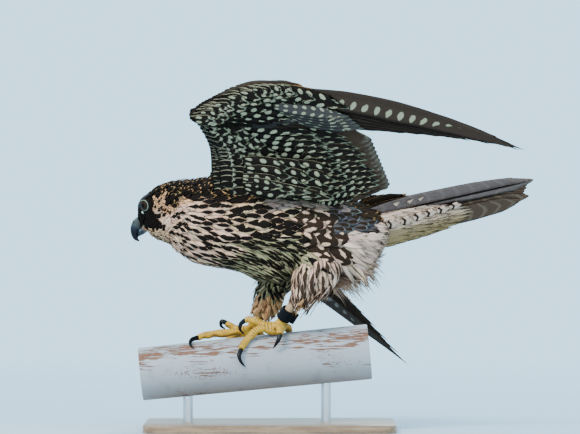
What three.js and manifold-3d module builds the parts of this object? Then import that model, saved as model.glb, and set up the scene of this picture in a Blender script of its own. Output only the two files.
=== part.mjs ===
import * as THREE from 'three';
import { mergeVertices } from 'three/addons/utils/BufferGeometryUtils.js';
import Module from 'manifold-3d';

const wasm = await Module();
wasm.setup();

// A young peregrine falcon, life size, leaning forward on a sloping painted tube with one wing raised.
// Millimetres, +Z up. The falcon faces -X and its left side is -Y.
// The origin is the middle of the underside of the display base.

const GAP = 0.3;
const DEG = Math.PI / 180;
const UP = new THREE.Vector3(0, 0, 1);
const FORWARD = new THREE.Vector3(1, 0, 0);

// Pose of the trunk and head: the roll lifts the left side and turns the belly to -Y
const BODY_ROLL = 22 * DEG;
const HEAD_YAW = 28 * DEG;
const HEAD_PITCH = 40 * DEG;
const HEAD_AT = new THREE.Vector3(-116.3, 2, 224);

// Stations of the trunk from the nape to the tail root: place, then half width, half height up and down
const TRUNK = [
  { at: [-118, 2, 222], size: [20, 22, 24] },
  { at: [-105, 1, 217.5], size: [26, 29, 30] },
  { at: [-92, 0, 216.5], size: [33, 35, 35.5] },
  { at: [-80, 0, 213.5], size: [39, 40.5, 41] },
  { at: [-65, 0, 210], size: [44, 47, 47] },
  { at: [-40, 0, 209.5], size: [47, 50, 50.5] },
  { at: [-10, 0, 206], size: [48, 51, 52] },
  { at: [20, 0, 201], size: [46, 50, 50] },
  { at: [48, 0, 198], size: [41, 45, 50] },
  { at: [75, 0, 201], size: [33, 35, 45] },
  { at: [97, 0, 209], size: [24, 22, 36] },
  { at: [110, 0, 214], size: [16, 10, 22] },
];
const TRUNK_SIDES = 22;
const TRUNK_ROWS = 22;
const NECK_FRONT_X = -102;
const NECK_REAR_X = -78;
const NECK_LEAN = 20 * DEG;

// Head in its own frame: x forward, y left, z up, from the middle between the eyes
const SKULL = [
  { at: [-27, -15, -30], size: [27, 27, 27] },
  { at: [-20, -9, -19], size: [28, 27, 28] },
  { at: [-12, -3, -8.5], size: [25.5, 21, 24] },
  { at: [-4, 0, -2.5], size: [21.5, 15.5, 17.5] },
  { at: [6, 0, -2], size: [17.5, 13, 14.5] },
  { at: [14, 0, -3.5], size: [13, 9.5, 10] },
  { at: [20, 0, -4.5], size: [9.5, 6.8, 8] },
  { at: [24, 0, -4.5], size: [6, 4, 6] },
];
const EYE = { at: [1.5, 14.8, 0.5], radius: 6.6 };
const LID_RADIUS = 5.9;
const LID_THICK = 1.1;
const BROW = [
  { at: [13, 9.5, 4.5], size: [1.4, 1.6, 1.6] },
  { at: [5, 15.8, 7.6], size: [2.6, 2.2, 2.6] },
  { at: [-4, 18.8, 8.6], size: [2.6, 2.2, 2.6] },
  { at: [-12, 19.6, 7.6], size: [1.2, 1.2, 1.2] },
];
const UPPER_BILL = [
  { at: [18.5, 0, -2.4], size: [9.4, 4.4, 5.2] },
  { at: [22.5, 0, -2.2], size: [8.9, 4.8, 5.3] },
  { at: [27, 0, -2.4], size: [7.6, 5.2, 5.2] },
  { at: [32, 0, -4.2], size: [5.9, 4.7, 4.7] },
  { at: [36, 0, -7.6], size: [4.1, 3.3, 3.9] },
  { at: [37.8, 0, -11.5], size: [2.3, 1.8, 2.1] },
  { at: [37, 0, -16], size: [0.4, 0.4, 0.4] },
];
const LOWER_BILL = [
  { at: [13, 0, -10.4], size: [8.6, 1.8, 3.6] },
  { at: [20, 0, -10.8], size: [7.2, 1.8, 3.4] },
  { at: [27, 0, -11.4], size: [5, 1.6, 2.6] },
  { at: [32.5, 0, -11.6], size: [1.4, 0.8, 0.8] },
];
const NOSTRIL = { at: [25.2, 6.4, -0.6], radius: 1.2, depth: 5 };
const MOUTH_SLIT = { from: 9.5, to: 26, height: 0.8, drop: -8.2 };

// Tail: root and tip of its middle line, and how far its near edge is turned up
const TAIL_ROOT = new THREE.Vector3(100, 0, 211);
const TAIL_TIP = new THREE.Vector3(263, 0, 245.5);
const TAIL_ROLL = 50 * DEG;

// Perch: a cut length of sloping painted tube
const PERCH = { x: 8, z: 69.4, slope: 5.62 * DEG, radius: 27, taper: 0.6, back: 138, front: 92, edge: 1.2 };

// Display stand
const BASE = { length: 250, width: 190, centreY: 5, thick: 8, corner: 14, bevel: 1 };
const ROD = { radius: 5, places: { front: -82, rear: 56 }, sides: 16 };

const MATERIALS = {
  barredFeather: { color: 0x2c2622, roughness: 0.75, metalness: 0 },
  breastFeather: { color: 0xd8c2a0, roughness: 0.85, metalness: 0 },
  headFeather: { color: 0x4a3a30, roughness: 0.8, metalness: 0 },
  bill: { color: 0x3c4856, roughness: 0.35, metalness: 0 },
  eye: { color: 0x120c08, roughness: 0.08, metalness: 0 },
  footSkin: { color: 0xd9b338, roughness: 0.55, metalness: 0 },
  claw: { color: 0x17130f, roughness: 0.3, metalness: 0 },
  blackBand: { color: 0x14161c, roughness: 0.35, metalness: 0.2 },
  greyBand: { color: 0xa8acae, roughness: 0.35, metalness: 0.9 },
  paintedTube: { color: 0xcfd3d6, roughness: 0.6, metalness: 0.1 },
  wood: { color: 0x8a6a48, roughness: 0.5, metalness: 0 },
  steel: { color: 0xb8babc, roughness: 0.3, metalness: 1 },
};

// Solids and meshes

function solidOf(geometry) {
  const bare = geometry.clone();
  bare.deleteAttribute('normal');
  bare.deleteAttribute('uv');
  const merged = mergeVertices(bare, 1e-4);
  const vertProperties = Float32Array.from(merged.getAttribute('position').array);
  const triVerts = Uint32Array.from(merged.getIndex().array);
  return new wasm.Manifold(new wasm.Mesh({ numProp: 3, vertProperties, triVerts }));
}

function fuse(solids) {
  let queue = [...solids];
  while (queue.length > 1) {
    const next = [];
    for (let i = 0; i < queue.length; i += 2) {
      next.push(i + 1 < queue.length ? queue[i].add(queue[i + 1]) : queue[i]);
    }
    queue = next;
  }
  return queue[0];
}

function cut(solid, tools) {
  return tools.reduce((left, tool) => left.subtract(tool), solid);
}

function largest(solid) {
  const bodies = solid.decompose();
  return bodies.reduce((best, body) => (body.volume() > best.volume() ? body : best), bodies[0]);
}

function piece(name, solid, look) {
  const { numProp, vertProperties, triVerts } = largest(solid).getMesh();
  const geometry = new THREE.BufferGeometry();
  const corners = new Float32Array((vertProperties.length / numProp) * 3);
  for (let i = 0; i < corners.length / 3; i += 1) {
    corners.set(vertProperties.slice(i * numProp, i * numProp + 3), i * 3);
  }
  geometry.setAttribute('position', new THREE.BufferAttribute(corners, 3));
  geometry.setIndex(new THREE.BufferAttribute(Uint32Array.from(triVerts), 1));
  geometry.computeVertexNormals();
  const mesh = new THREE.Mesh(geometry, new THREE.MeshStandardMaterial(MATERIALS[look]));
  mesh.name = name;
  return mesh;
}

// A closed body through stations along a smooth line; each section is an egg of half width, up and down
function loft(stations, { sides = 12, rows = 12, roll = 0, grow = 0, upward = UP } = {}) {
  const centres = new THREE.CatmullRomCurve3(stations.map(({ at }) => new THREE.Vector3(...at)));
  const sizes = new THREE.CatmullRomCurve3(stations.map(({ size }) => new THREE.Vector3(...size)));
  const tube = new THREE.CylinderGeometry(1, 1, 1, sides, rows);
  const places = tube.getAttribute('position');
  for (let i = 0; i < places.count; i += 1) {
    const t = THREE.MathUtils.clamp(places.getY(i) + 0.5, 0, 1);
    const centre = centres.getPoint(t);
    const size = sizes.getPoint(t);
    const along = centres.getTangent(t);
    const turned = upward.clone().applyAxisAngle(new THREE.Vector3(1, 0, 0), roll);
    const side = new THREE.Vector3().crossVectors(along, turned).normalize();
    const top = new THREE.Vector3().crossVectors(side, along).normalize();
    const z = places.getZ(i);
    centre.addScaledVector(side, places.getX(i) * (size.x + grow));
    centre.addScaledVector(top, z * ((z > 0 ? size.y : size.z) + grow));
    places.setXYZ(i, centre.x, centre.y, centre.z);
  }
  return tube;
}

// A place function for a feather rooted on a loft at station t and a turn about it, lying along the loft
function rootedOn(stations, t, turn, { lean = 0, roll = 0, upward = UP } = {}) {
  const centres = new THREE.CatmullRomCurve3(stations.map(({ at }) => new THREE.Vector3(...at)));
  const sizes = new THREE.CatmullRomCurve3(stations.map(({ size }) => new THREE.Vector3(...size)));
  const size = sizes.getPoint(t);
  const along = centres.getTangent(t);
  const turned = upward.clone().applyAxisAngle(new THREE.Vector3(1, 0, 0), roll);
  const side = new THREE.Vector3().crossVectors(along, turned).normalize();
  const top = new THREE.Vector3().crossVectors(side, along).normalize();
  const [s, c] = [Math.sin(turn), Math.cos(turn)];
  const root = centres.getPoint(t).addScaledVector(side, s * size.x)
    .addScaledVector(top, c * (c > 0 ? size.y : size.z));
  const outward = side.clone().multiplyScalar(s).addScaledVector(top, c);
  const across = new THREE.Vector3().crossVectors(outward, along);
  const lie = along.clone().applyAxisAngle(across, -lean);
  const lifted = outward.applyAxisAngle(across, -lean);
  return (a, b, lift) => root.clone()
    .addScaledVector(lie, a)
    .addScaledVector(across, b)
    .addScaledVector(lifted, lift);
}

function round(radius) {
  return [radius, radius, radius];
}

// A thin closed sheet over a grid of top and bottom points, split alike on both faces
function sheet(grid) {
  const columns = grid[0].length;
  const corners = grid.flat().flatMap(({ top, bottom }) => [...top.toArray(), ...bottom.toArray()]);
  const topAt = (i, j) => 2 * (i * columns + j);
  const faces = [];
  const quad = (a, b, c, d) => faces.push(a, b, c, a, c, d);
  for (let i = 0; i + 1 < grid.length; i += 1) {
    for (let j = 0; j + 1 < columns; j += 1) {
      const [a, b, c, d] = [topAt(i, j), topAt(i + 1, j), topAt(i + 1, j + 1), topAt(i, j + 1)];
      quad(a, b, c, d);
      faces.push(a + 1, c + 1, b + 1, a + 1, d + 1, c + 1);
    }
    const last = columns - 1;
    quad(topAt(i, 0), topAt(i, 0) + 1, topAt(i + 1, 0) + 1, topAt(i + 1, 0));
    quad(topAt(i, last), topAt(i + 1, last), topAt(i + 1, last) + 1, topAt(i, last) + 1);
  }
  const end = grid.length - 1;
  for (let j = 0; j + 1 < columns; j += 1) {
    quad(topAt(0, j), topAt(0, j + 1), topAt(0, j + 1) + 1, topAt(0, j) + 1);
    quad(topAt(end, j), topAt(end, j) + 1, topAt(end, j + 1) + 1, topAt(end, j + 1));
  }
  const geometry = new THREE.BufferGeometry();
  geometry.setAttribute('position', new THREE.Float32BufferAttribute(corners, 3));
  geometry.setIndex(volumeOf(corners, faces) < 0 ? faces.reverse() : faces);
  return geometry;
}

function volumeOf(corners, faces) {
  const at = (i) => new THREE.Vector3().fromArray(corners, 3 * i);
  let sum = 0;
  for (let i = 0; i < faces.length; i += 3) {
    sum += at(faces[i]).dot(at(faces[i + 1]).cross(at(faces[i + 2])));
  }
  return sum;
}

// Trunk and neck

function trunkSolid(grow = 0) {
  return solidOf(loft(TRUNK, { sides: TRUNK_SIDES, rows: TRUNK_ROWS, roll: -BODY_ROLL, grow }));
}

// Loose feathers under the tail root, in rows that overlap and hang back from the belly
const VENT = {
  rows: 3, across: 5, from: 0.72, to: 0.88, spread: 60 * DEG, length: [36, 48], width: 28,
  lean: { side: 7 * DEG, below: 30 * DEG },
};

function ventLocks() {
  const { rows, across, from, to, spread, length, width, lean } = VENT;
  return row(rows, (i, t) => row(across, (j, u) => {
    const turn = Math.PI + spread * (2 * u - 1) + (i % 2 ? 0.09 : -0.09);
    const below = Math.cos(Math.PI * (u - 0.5)) ** 2;
    const leaned = THREE.MathUtils.lerp(lean.side, lean.below, below) * (0.8 + 0.4 * noise(i, j));
    const station = THREE.MathUtils.lerp(from, to, t);
    const place = rootedOn(TRUNK, station, turn, { roll: -BODY_ROLL, lean: leaned });
    const reach = THREE.MathUtils.lerp(...length, noise(j, i));
    return vane(place, {
      root: [-9, 0], tip: [reach, 5 * (noise(i + 7, j) - 0.5)], width, lift: -1, shape: 'lock',
    });
  })).flat();
}

// A repeatable spread of values from 0 to 1
function noise(i, j) {
  const value = Math.sin(12.9898 * i + 78.233 * j + 4.7) * 43758.5453;
  return value - Math.floor(value);
}

// Everything in front of (or behind) a plane across the neck
function neckHalf(x, forward) {
  const reach = 400;
  const block = new THREE.BoxGeometry(reach, reach, reach);
  block.translate(forward ? -reach / 2 : reach / 2, 0, 0);
  block.rotateY(NECK_LEAN);
  block.translate(x, 0, 215);
  return solidOf(block);
}

// Head, bill and eyes, made level and then turned onto the neck

const HEAD_POSE = new THREE.Matrix4()
  .makeTranslation(HEAD_AT)
  .multiply(new THREE.Matrix4().makeRotationZ(Math.PI - HEAD_YAW))
  .multiply(new THREE.Matrix4().makeRotationY(HEAD_PITCH));

function onHead(geometry) {
  return solidOf(geometry.clone().applyMatrix4(HEAD_POSE));
}

function eyeBall(side, grow = 0) {
  const [x, y, z] = EYE.at;
  return new THREE.SphereGeometry(EYE.radius + grow, 12, 8).translate(x, side * y, z);
}

function lidRing(side) {
  const ring = new THREE.TorusGeometry(LID_RADIUS, LID_THICK, 5, 14);
  ring.rotateX(90 * DEG);
  ring.rotateZ(-side * 16 * DEG);
  const [x, y, z] = EYE.at;
  return ring.translate(x + 0.9, side * (y + 3.6), z);
}

function brow(side) {
  const flipped = BROW.map(({ at: [x, y, z], size }) => ({ at: [x, side * y, z], size }));
  return loft(flipped, { sides: 7, rows: 5 });
}

function nostril(side) {
  const hole = new THREE.CylinderGeometry(NOSTRIL.radius, NOSTRIL.radius, NOSTRIL.depth, 8);
  const [x, y, z] = NOSTRIL.at;
  return hole.translate(x, side * y, z);
}

function mouthSlit() {
  const { from, to, height, drop } = MOUTH_SLIT;
  return new THREE.BoxGeometry(to - from, 60, height).translate((from + to) / 2, 0, drop);
}

function upperBill(grow = 0) {
  return loft(UPPER_BILL, { sides: 12, rows: 9, grow });
}

function lowerBill(grow = 0) {
  return loft(LOWER_BILL, { sides: 10, rows: 5, grow });
}

function headPieces() {
  const skull = fuse([
    onHead(loft(SKULL, { sides: 18, rows: 10 })),
    ...[1, -1].flatMap((side) => [onHead(brow(side)), onHead(lidRing(side))]),
  ]);
  const seats = [upperBill(GAP), lowerBill(GAP), mouthSlit(), eyeBall(1, GAP), eyeBall(-1, GAP)];
  const head = cut(skull, [...seats.map(onHead), neckHalf(NECK_FRONT_X - GAP / 2, false)]);
  const upper = cut(onHead(upperBill()), [lowerBill(GAP), nostril(1), nostril(-1)].map(onHead));
  return [
    piece('head', head, 'headFeather'),
    piece('beak_upper', upper, 'bill'),
    piece('beak_lower', onHead(lowerBill()), 'bill'),
    piece('eye_left', onHead(eyeBall(1)), 'eye'),
    piece('eye_right', onHead(eyeBall(-1)), 'eye'),
  ];
}

// Wings. A wing is laid out in its own frame, from its wrist: a runs to the wing tip, b from the leading
// to the trailing edge, and the third value is the lift towards the upper side.
const WING_SPAN = 331;
const WINGS = {
  left: {
    wrist: new THREE.Vector3(-78, -78.5, 317),
    along: new THREE.Vector3(0.9944, 0.056, -0.1057),
    across: new THREE.Vector3(-0.1057, 0.527, -0.9944),
    upper: new THREE.Vector3(0, 0.883, 0.468),
    droop: 4,
    lead: [[33, 84], [28, 60], [26, 44], [23, 32], [12, 16], [-2, 3]],
    rear: [[118, 79], [112, 60], [102, 47], [74, 33], [42, 18], [16, 4]],
    armSink: 0,
    tipsOuter: [181, 9],
    tipsInner: [204, 52],
    tertialTips: [[203, 55], [188, 64], [164, 74]],
  },
  right: {
    wrist: new THREE.Vector3(-63.5, 76.5, 250),
    along: new THREE.Vector3(0.662, 0.604, -0.444),
    across: new THREE.Vector3(0.73, -0.655, 0.197),
    upper: new THREE.Vector3(0.172, 0.454, 0.874),
    droop: 43,
    lead: [[2, 66], [-3, 50], [-6, 36], [-5, 22], [-4, 10], [-2, 3]],
    rear: [[60, 100], [66, 88], [68, 70], [56, 48], [38, 26], [16, 4]],
    armSink: 50,
    tipsOuter: [181, 12],
    tipsInner: [173, 64],
    tertialTips: [[170, 70], [156, 82], [136, 94]],
  },
};
const HAND_MIDDLE = [[7, -1], [16, -9], [30, -16.5], [46, -25], [60, -31], [70, -34]];
const HAND_LEAD = [[-2.6, 2], [5, -9.6], [16, -18.1], [37.6, -31.9], [60, -37.5], [76, -38]];
const HAND_REAR = [[15.6, 3.4], [22, -2], [35, -9], [52, -19], [66, -27], [80, -34.5]];
const DROOP_POWER = 2.5;
const SINK_POWER = 3;

function spline(points) {
  return new THREE.SplineCurve(points.map(([a, b]) => new THREE.Vector2(a, b)));
}

function onWing(wing, a, b, lift) {
  const droop = wing.droop * (Math.max(a, 0) / WING_SPAN) ** DROOP_POWER;
  return wing.wrist.clone()
    .addScaledVector(wing.along, a)
    .addScaledVector(wing.across, b)
    .addScaledVector(wing.upper, lift - droop);
}

// A flat-bellied core between a leading and a rear line, thick near its front and thin at its edges
function wingCore(wing, leadPoints, rearPoints, { rows, thick, lift, sinkAtBody = 0 }) {
  const lead = spline(leadPoints);
  const rear = spline(rearPoints);
  const section = [[0, 0.3], [0.12, 0.8], [0.35, 1], [0.7, 0.7], [1, 0.25]];
  const grid = [];
  for (let i = 0; i <= rows; i += 1) {
    const t = i / rows;
    const from = lead.getPoint(t);
    const to = rear.getPoint(t);
    const level = THREE.MathUtils.lerp(lift[0], lift[1], t) - sinkAtBody * (1 - t) ** SINK_POWER;
    grid.push(section.map(([s, share]) => {
      const { x, y } = from.clone().lerp(to, s);
      const half = (share * THREE.MathUtils.lerp(thick[0], thick[1], t)) / 2;
      return { top: onWing(wing, x, y, level + half), bottom: onWing(wing, x, y, level - half) };
    }));
  }
  return solidOf(sheet(grid));
}

// Feathers. A vane is a thin closed blade, narrow at its quill, that keeps clear of the next one by its lift
// and tilt. Each shape lists how far along the vane a station is and its share of the full width.
const VANE_SHAPES = {
  pointed: [[0, 0.6], [0.35, 1], [0.8, 0.62], [1, 0.1]],
  broad: [[0, 0.6], [0.85, 0.9], [1, 0.2]],
  short: [[0, 0.55], [0.6, 1], [1, 0.25]],
  lock: [[0, 0.7], [0.5, 1], [1, 0.06]],
};
const VANE_THICK = 0.6;
const VANE_STEP = 0.95;

function vane(place, options) {
  const { root, tip, width, shape, bow = 0, lead = 0.5, lift = 0, rise = 0, tilt = 0, grow = 0 } = options;
  const from = new THREE.Vector2(...root);
  const to = new THREE.Vector2(...tip);
  const along = to.clone().sub(from).normalize();
  to.addScaledVector(along, grow);
  const across = new THREE.Vector2(-along.y, along.x);
  const grid = VANE_SHAPES[shape].map(([t, share]) => {
    const shaft = from.clone().lerp(to, t).addScaledVector(across, bow * 4 * t * (1 - t));
    return [-lead, 1 - lead].map((s) => {
      const offset = s * (width * share + 2 * grow);
      const { x, y } = shaft.clone().addScaledVector(across, offset);
      const level = lift + rise * t - tilt * offset;
      const half = VANE_THICK / 2 + grow;
      return { top: place(x, y, level + half), bottom: place(x, y, level - half) };
    });
  });
  return solidOf(sheet(grid));
}

function mix(from, to, t) {
  return from.map((value, i) => THREE.MathUtils.lerp(value, to[i], t));
}

function row(count, make) {
  return Array.from({ length: count }, (unused, i) => make(i, count > 1 ? i / (count - 1) : 0));
}

// Primaries, numbered from the wrist outwards; the outer ones lie under the inner ones
const PRIMARIES = { count: 10, longest: 8, reach: 159, last: 326 };

function primaryTip(i) {
  const { longest, reach, last } = PRIMARIES;
  const a = i > longest ? last : WING_SPAN - reach * ((longest - i) / longest) ** 1.1;
  return [a, THREE.MathUtils.lerp(-1, 0.5, i / longest)];
}

function handVanes(wing) {
  const place = (a, b, lift) => onWing(wing, a, b, lift);
  const quills = spline(HAND_MIDDLE);
  const quill = (t) => quills.getPoint(t).toArray();
  const primaries = row(PRIMARIES.count, (i, t) => vane(place, {
    root: quill(t), tip: primaryTip(i), bow: -5 - 7 * t, width: 26 - 5 * t, lead: 0.4 - 0.12 * t,
    lift: -1.2 - VANE_STEP * i, shape: 'pointed',
  }));
  const coverts = (count, reach, lift) => row(count, (i, t) => vane(place, {
    root: quill(0.1 + 0.85 * t), tip: mix(quill(t), primaryTip(1.75 * i + 1), reach), bow: -3 - 3 * t,
    width: 25,
    lead: 0.45, lift: lift(i), tilt: 0.05, shape: 'short',
  }));
  const alula = row(2, (i) => vane(place, {
    root: [30 + 8 * i, -24 - 2 * i], tip: [99 - 12 * i, -41 + 3 * i], bow: -3, width: 11,
    lift: -12.4 + VANE_STEP * i,
    shape: 'short',
  }));
  return [
    ...primaries,
    ...coverts(5, 0.38, (i) => -11 - 0.6 * i),
    ...coverts(5, 0.32, (i) => 0.2 - 1.5 * i),
    ...alula,
  ];
}

const ARM_FEATHERS = { flight: 12 };
const SECONDARY_SHARE = 0.78;

// Secondaries and tertials, numbered from the wrist to the body; the inner ones lie over the outer ones
function armVanes(wing) {
  const sink = (t) => wing.armSink * t ** SINK_POWER;
  const place = (a, b, lift) => onWing(wing, a, b, lift);
  const quills = spline([...wing.rear].reverse());
  const quill = (t) => mix(quills.getPoint(t).toArray(), wingFront(wing, t), 0.3);
  const tip = (t) => (t < SECONDARY_SHARE
    ? mix(wing.tipsOuter, wing.tipsInner, t / SECONDARY_SHARE)
    : spline([wing.tipsInner, ...wing.tertialTips]).getPoint((t - SECONDARY_SHARE) / (1 - SECONDARY_SHARE))
      .toArray());
  const spread = (t) => 0.05 + 0.87 * t;
  const flight = row(ARM_FEATHERS.flight, (i, t) => vane(place, {
    root: quill(spread(t)), tip: tip(t), bow: -3, width: 25, lead: 0.45,
    lift: 2 + 0.5 * i - sink(spread(t)), rise: -1, tilt: 0.07, shape: 'broad',
  }));
  const coverts = (number, reach, lift, slope) => row(number, (i, t) => vane(place, {
    root: quill(0.09 + 0.8 * t), tip: mix(quill(0.09 + 0.8 * t), tip(0.08 + 0.9 * t), reach), bow: -2,
    width: 29,
    lead: 0.45, lift: lift + slope * i - sink(0.09 + 0.8 * t), tilt: 0.07, shape: 'short',
  }));
  return [...flight, ...coverts(6, 0.42, -0.2, 0.7), ...coverts(6, 0.38, 5.4, 1.2)];
}

function wingFront(wing, t) {
  return spline([...wing.lead].reverse()).getPoint(t).toArray();
}

function wingPieces(side) {
  const wing = WINGS[side];
  const armCore = { rows: 8, thick: [16, 8], lift: [5.2, 5.2], sinkAtBody: wing.armSink };
  const handCore = { rows: 6, thick: [6.5, 10.5], lift: [-8, -6], sinkAtBody: 0 };
  const arm = fuse([wingCore(wing, wing.lead, wing.rear, armCore), ...armVanes(wing)]);
  const hand = fuse([
    wingCore(wing, [...HAND_LEAD].reverse(), [...HAND_REAR].reverse(), handCore),
    ...handVanes(wing),
  ]);
  return [
    piece(`wing_${side}_arm`, cut(arm, [trunkSolid(GAP)]), 'barredFeather'),
    piece(`wing_${side}_hand`, cut(hand, [trunkSolid(GAP)]), 'barredFeather'),
  ];
}

// Tail, laid out along its middle line: a back from the root, b to the falcon's left, lift to its upper side
const TAIL_ALONG = new THREE.Vector3().subVectors(TAIL_TIP, TAIL_ROOT).normalize();
const TAIL_LENGTH = TAIL_ROOT.distanceTo(TAIL_TIP);
const TAIL_LEFT = new THREE.Vector3(0, -Math.cos(TAIL_ROLL), Math.sin(TAIL_ROLL));
TAIL_LEFT.addScaledVector(TAIL_ALONG, -TAIL_LEFT.dot(TAIL_ALONG)).normalize();
const TAIL_UPPER = new THREE.Vector3().crossVectors(TAIL_LEFT, TAIL_ALONG).normalize();

function onTail(a, b, lift) {
  return TAIL_ROOT.clone()
    .addScaledVector(TAIL_ALONG, a)
    .addScaledVector(TAIL_LEFT, b)
    .addScaledVector(TAIL_UPPER, lift);
}

// Six pairs of tail feathers, the middle pair on top, with rows of coverts over and under their quills
const TAIL_PAIRS = 6;

function tailVanes() {
  const feathers = row(TAIL_PAIRS, (i) => [1, -1].map((side, j) => vane(onTail, {
    root: [-6, side * (1.5 + 2.6 * i)], tip: [TAIL_LENGTH - 0.9 * i ** 1.6, side * (1.5 + 1.4 * i)],
    bow: side * (0.6 + 1.6 * i), width: 23, lead: side > 0 ? 0.55 : 0.45, lift: 4 - VANE_STEP * (2 * i + j),
    shape: 'broad',
  }))).flat();
  const under = row(5, (i, t) => vane(onTail, {
    root: [-8, THREE.MathUtils.lerp(-15, 15, t)], tip: [62 + 26 * Math.sin(Math.PI * t), 21 * (2 * t - 1)],
    width: 20, lift: -9.4 - 0.5 * (i % 2 ? 2 : 0), rise: 1.5, shape: 'short',
  }));
  const over = row(4, (i, t) => vane(onTail, {
    root: [-8, THREE.MathUtils.lerp(-12, 12, t)], tip: [40 + 18 * Math.sin(Math.PI * t), 17 * (2 * t - 1)],
    width: 20, lift: 6.4 + 0.5 * (i % 2 ? 2 : 0), rise: -1, shape: 'short',
  }));
  const stump = loft([
    { at: onTail(-10, 0, -2).toArray(), size: [18, 9, 9] },
    { at: onTail(4, 0, -2).toArray(), size: [17, 8.5, 8.5] },
    { at: onTail(22, 0, -2).toArray(), size: [12, 4.5, 5] },
  ], { sides: 14, rows: 4, upward: TAIL_UPPER });
  return fuse([solidOf(stump), ...feathers, ...under, ...over]);
}

function tailPiece() {
  return piece('tail', cut(tailVanes(), [trunkSolid(GAP)]), 'barredFeather');
}

// Legs. The left foot stands on the near shoulder of the tube and the right one on its far shoulder.
const LEGS = {
  left: {
    thigh: [
      { at: [52, -14, 178], size: [20, 24, 26] },
      { at: [46, -22, 164], size: [23, 26, 24] },
      { at: [38, -28, 150], size: [17, 19, 17] },
      { at: [31, -28, 138], size: [11, 12, 10] },
      { at: [25, -23.6, 129], size: [6.5, 7, 6.5] },
    ],
    tarsus: [
      { at: [33, -30, 142], size: round(5) },
      { at: [21, -21, 123.5], size: round(4.4) },
      { at: [9.5, -12.4, 106], size: round(5.2) },
    ],
    footTop: 0.82,
    pad: { at: [8, -12, 102], size: [9, 7, 8] },
    toes: {
      middle: [[7, -12, 104], [-6, -14, 102.5], [-13.5, -15.5, 99.5], [-21, -18.5, 92.5],
        [-26.5, -23.5, 86], [-28.8, -27.5, 81.5]],
      inner: [[5, -9, 104], [-6, -6, 105], [-13.5, -4, 108.2], [-21, -2, 110.5], [-24.3, -1, 110]],
      outer: [[9, -14, 104], [9.6, -20, 103.4], [10.3, -26, 100.5], [10, -29.6, 96.5]],
      back: [[11, -9, 103], [17, 0, 102.4], [19, 9, 99.6], [19, 17, 95.6]],
    },
    claws: {
      middle: [[-28.8, -28.5, 80.5], [-30.6, -32, 75], [-28.6, -31.5, 69], [-24.2, -28.4, 64]],
      inner: [[-24.3, -1, 110], [-29, 0, 106], [-30, 1, 100.5], [-25.5, 1, 95.4]],
      outer: [[10, -30, 95.8], [8.6, -32, 91], [6, -30.6, 86.6], [3.3, -27, 82.4]],
      back: [[19, 17.6, 95], [20, 24, 92.6], [19.6, 28, 87.4], [18.5, 27.6, 82]],
    },
  },
  right: {
    thigh: [
      { at: [22, 14, 176], size: [20, 22, 26] },
      { at: [14, 22, 162], size: [21, 22, 22] },
      { at: [5, 27, 146], size: [15, 16, 15] },
      { at: [-4, 25, 130], size: [11.5, 12, 11.5] },
      { at: [-10.4, 20, 119.5], size: [8.5, 9, 8.5] },
      { at: [-12.8, 17.8, 113.6], size: [6, 6, 6] },
    ],
    tarsus: [
      { at: [2, 29, 141], size: round(5) },
      { at: [-9, 20, 121], size: round(4.4) },
      { at: [-20, 12, 100], size: round(5) },
    ],
    footTop: 0.93,
    pad: { at: [-24, 13, 96.5], size: [9, 7, 8] },
    toes: {
      middle: [[-24, 11, 98], [-41, 7, 97], [-55.6, 4, 95.8], [-64.7, 1, 94.6], [-72, -2, 92.4]],
      inner: [[-24, 13, 98], [-31, 15, 99.4], [-38, 18, 102.4], [-43.6, 20, 106.2]],
      outer: [[-25, 15, 97], [-36, 22, 92], [-45, 27, 86.5], [-50, 30, 80]],
      back: [[-20, 14, 97], [-12, 20, 95.4], [-5, 26, 89], [-3, 29.6, 83]],
    },
    claws: {
      middle: [[-72.6, -2.6, 92.2], [-78, -8, 90.4], [-79.6, -14, 86.6], [-75.5, -19.6, 81.5]],
      inner: [[-43.8, 20, 106.4], [-48.6, 21, 108], [-49.4, 22, 104], [-44, 23, 99.5]],
      outer: [[-50.2, 30.4, 79.6], [-53, 32.6, 75], [-52.6, 31.6, 69], [-49, 28, 64.6]],
      back: [[-2.8, 30, 82.4], [0, 32.6, 78], [0.6, 31.6, 72], [-2, 28.4, 67]],
    },
  },
};
const TOE_RADIUS = [4.2, 3.6, 3.9, 3.3, 3.4, 2.7];
const CLAW_RADIUS = [2.7, 2.3, 1.6, 0.35];
const TOE_SIDES = 7;

function toeLoft(points, grow = 0) {
  const stations = points.map((at, i) => {
    const spot = (i * (TOE_RADIUS.length - 1)) / (points.length - 1);
    return { at, size: round(TOE_RADIUS[Math.round(spot)]) };
  });
  return solidOf(loft(stations, { sides: TOE_SIDES, rows: 6, grow }));
}

function clawLoft(points, grow = 0) {
  const stations = points.map((at, i) => ({ at, size: round(CLAW_RADIUS[i]) }));
  return solidOf(loft(stations, { sides: 6, rows: 5, grow }));
}

function footPad({ at, size }) {
  return solidOf(new THREE.SphereGeometry(1, 10, 6).scale(...size).translate(...at));
}

// The lower end of the leg bone belongs to the foot; the rest is the tarsus
function tarsusPart(leg, { from, to, grow = 0 }) {
  const [start, end] = [from, to].map((t) => tarsusAt(leg, t));
  const steps = [0, 0.5, 1].map((s) => ({
    at: start.clone().lerp(end, s).toArray(),
    size: round(THREE.MathUtils.lerp(5, 4.4, Math.min(1, 2 * Math.abs(from + s * (to - from) - 1)))),
  }));
  return solidOf(loft(steps, { sides: 12, rows: 3, grow }));
}

function tarsusAt(leg, t) {
  const ends = [leg.tarsus[0], leg.tarsus[leg.tarsus.length - 1]].map(({ at }) => new THREE.Vector3(...at));
  return ends[0].lerp(ends[1], t);
}

// Perch and stand

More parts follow.
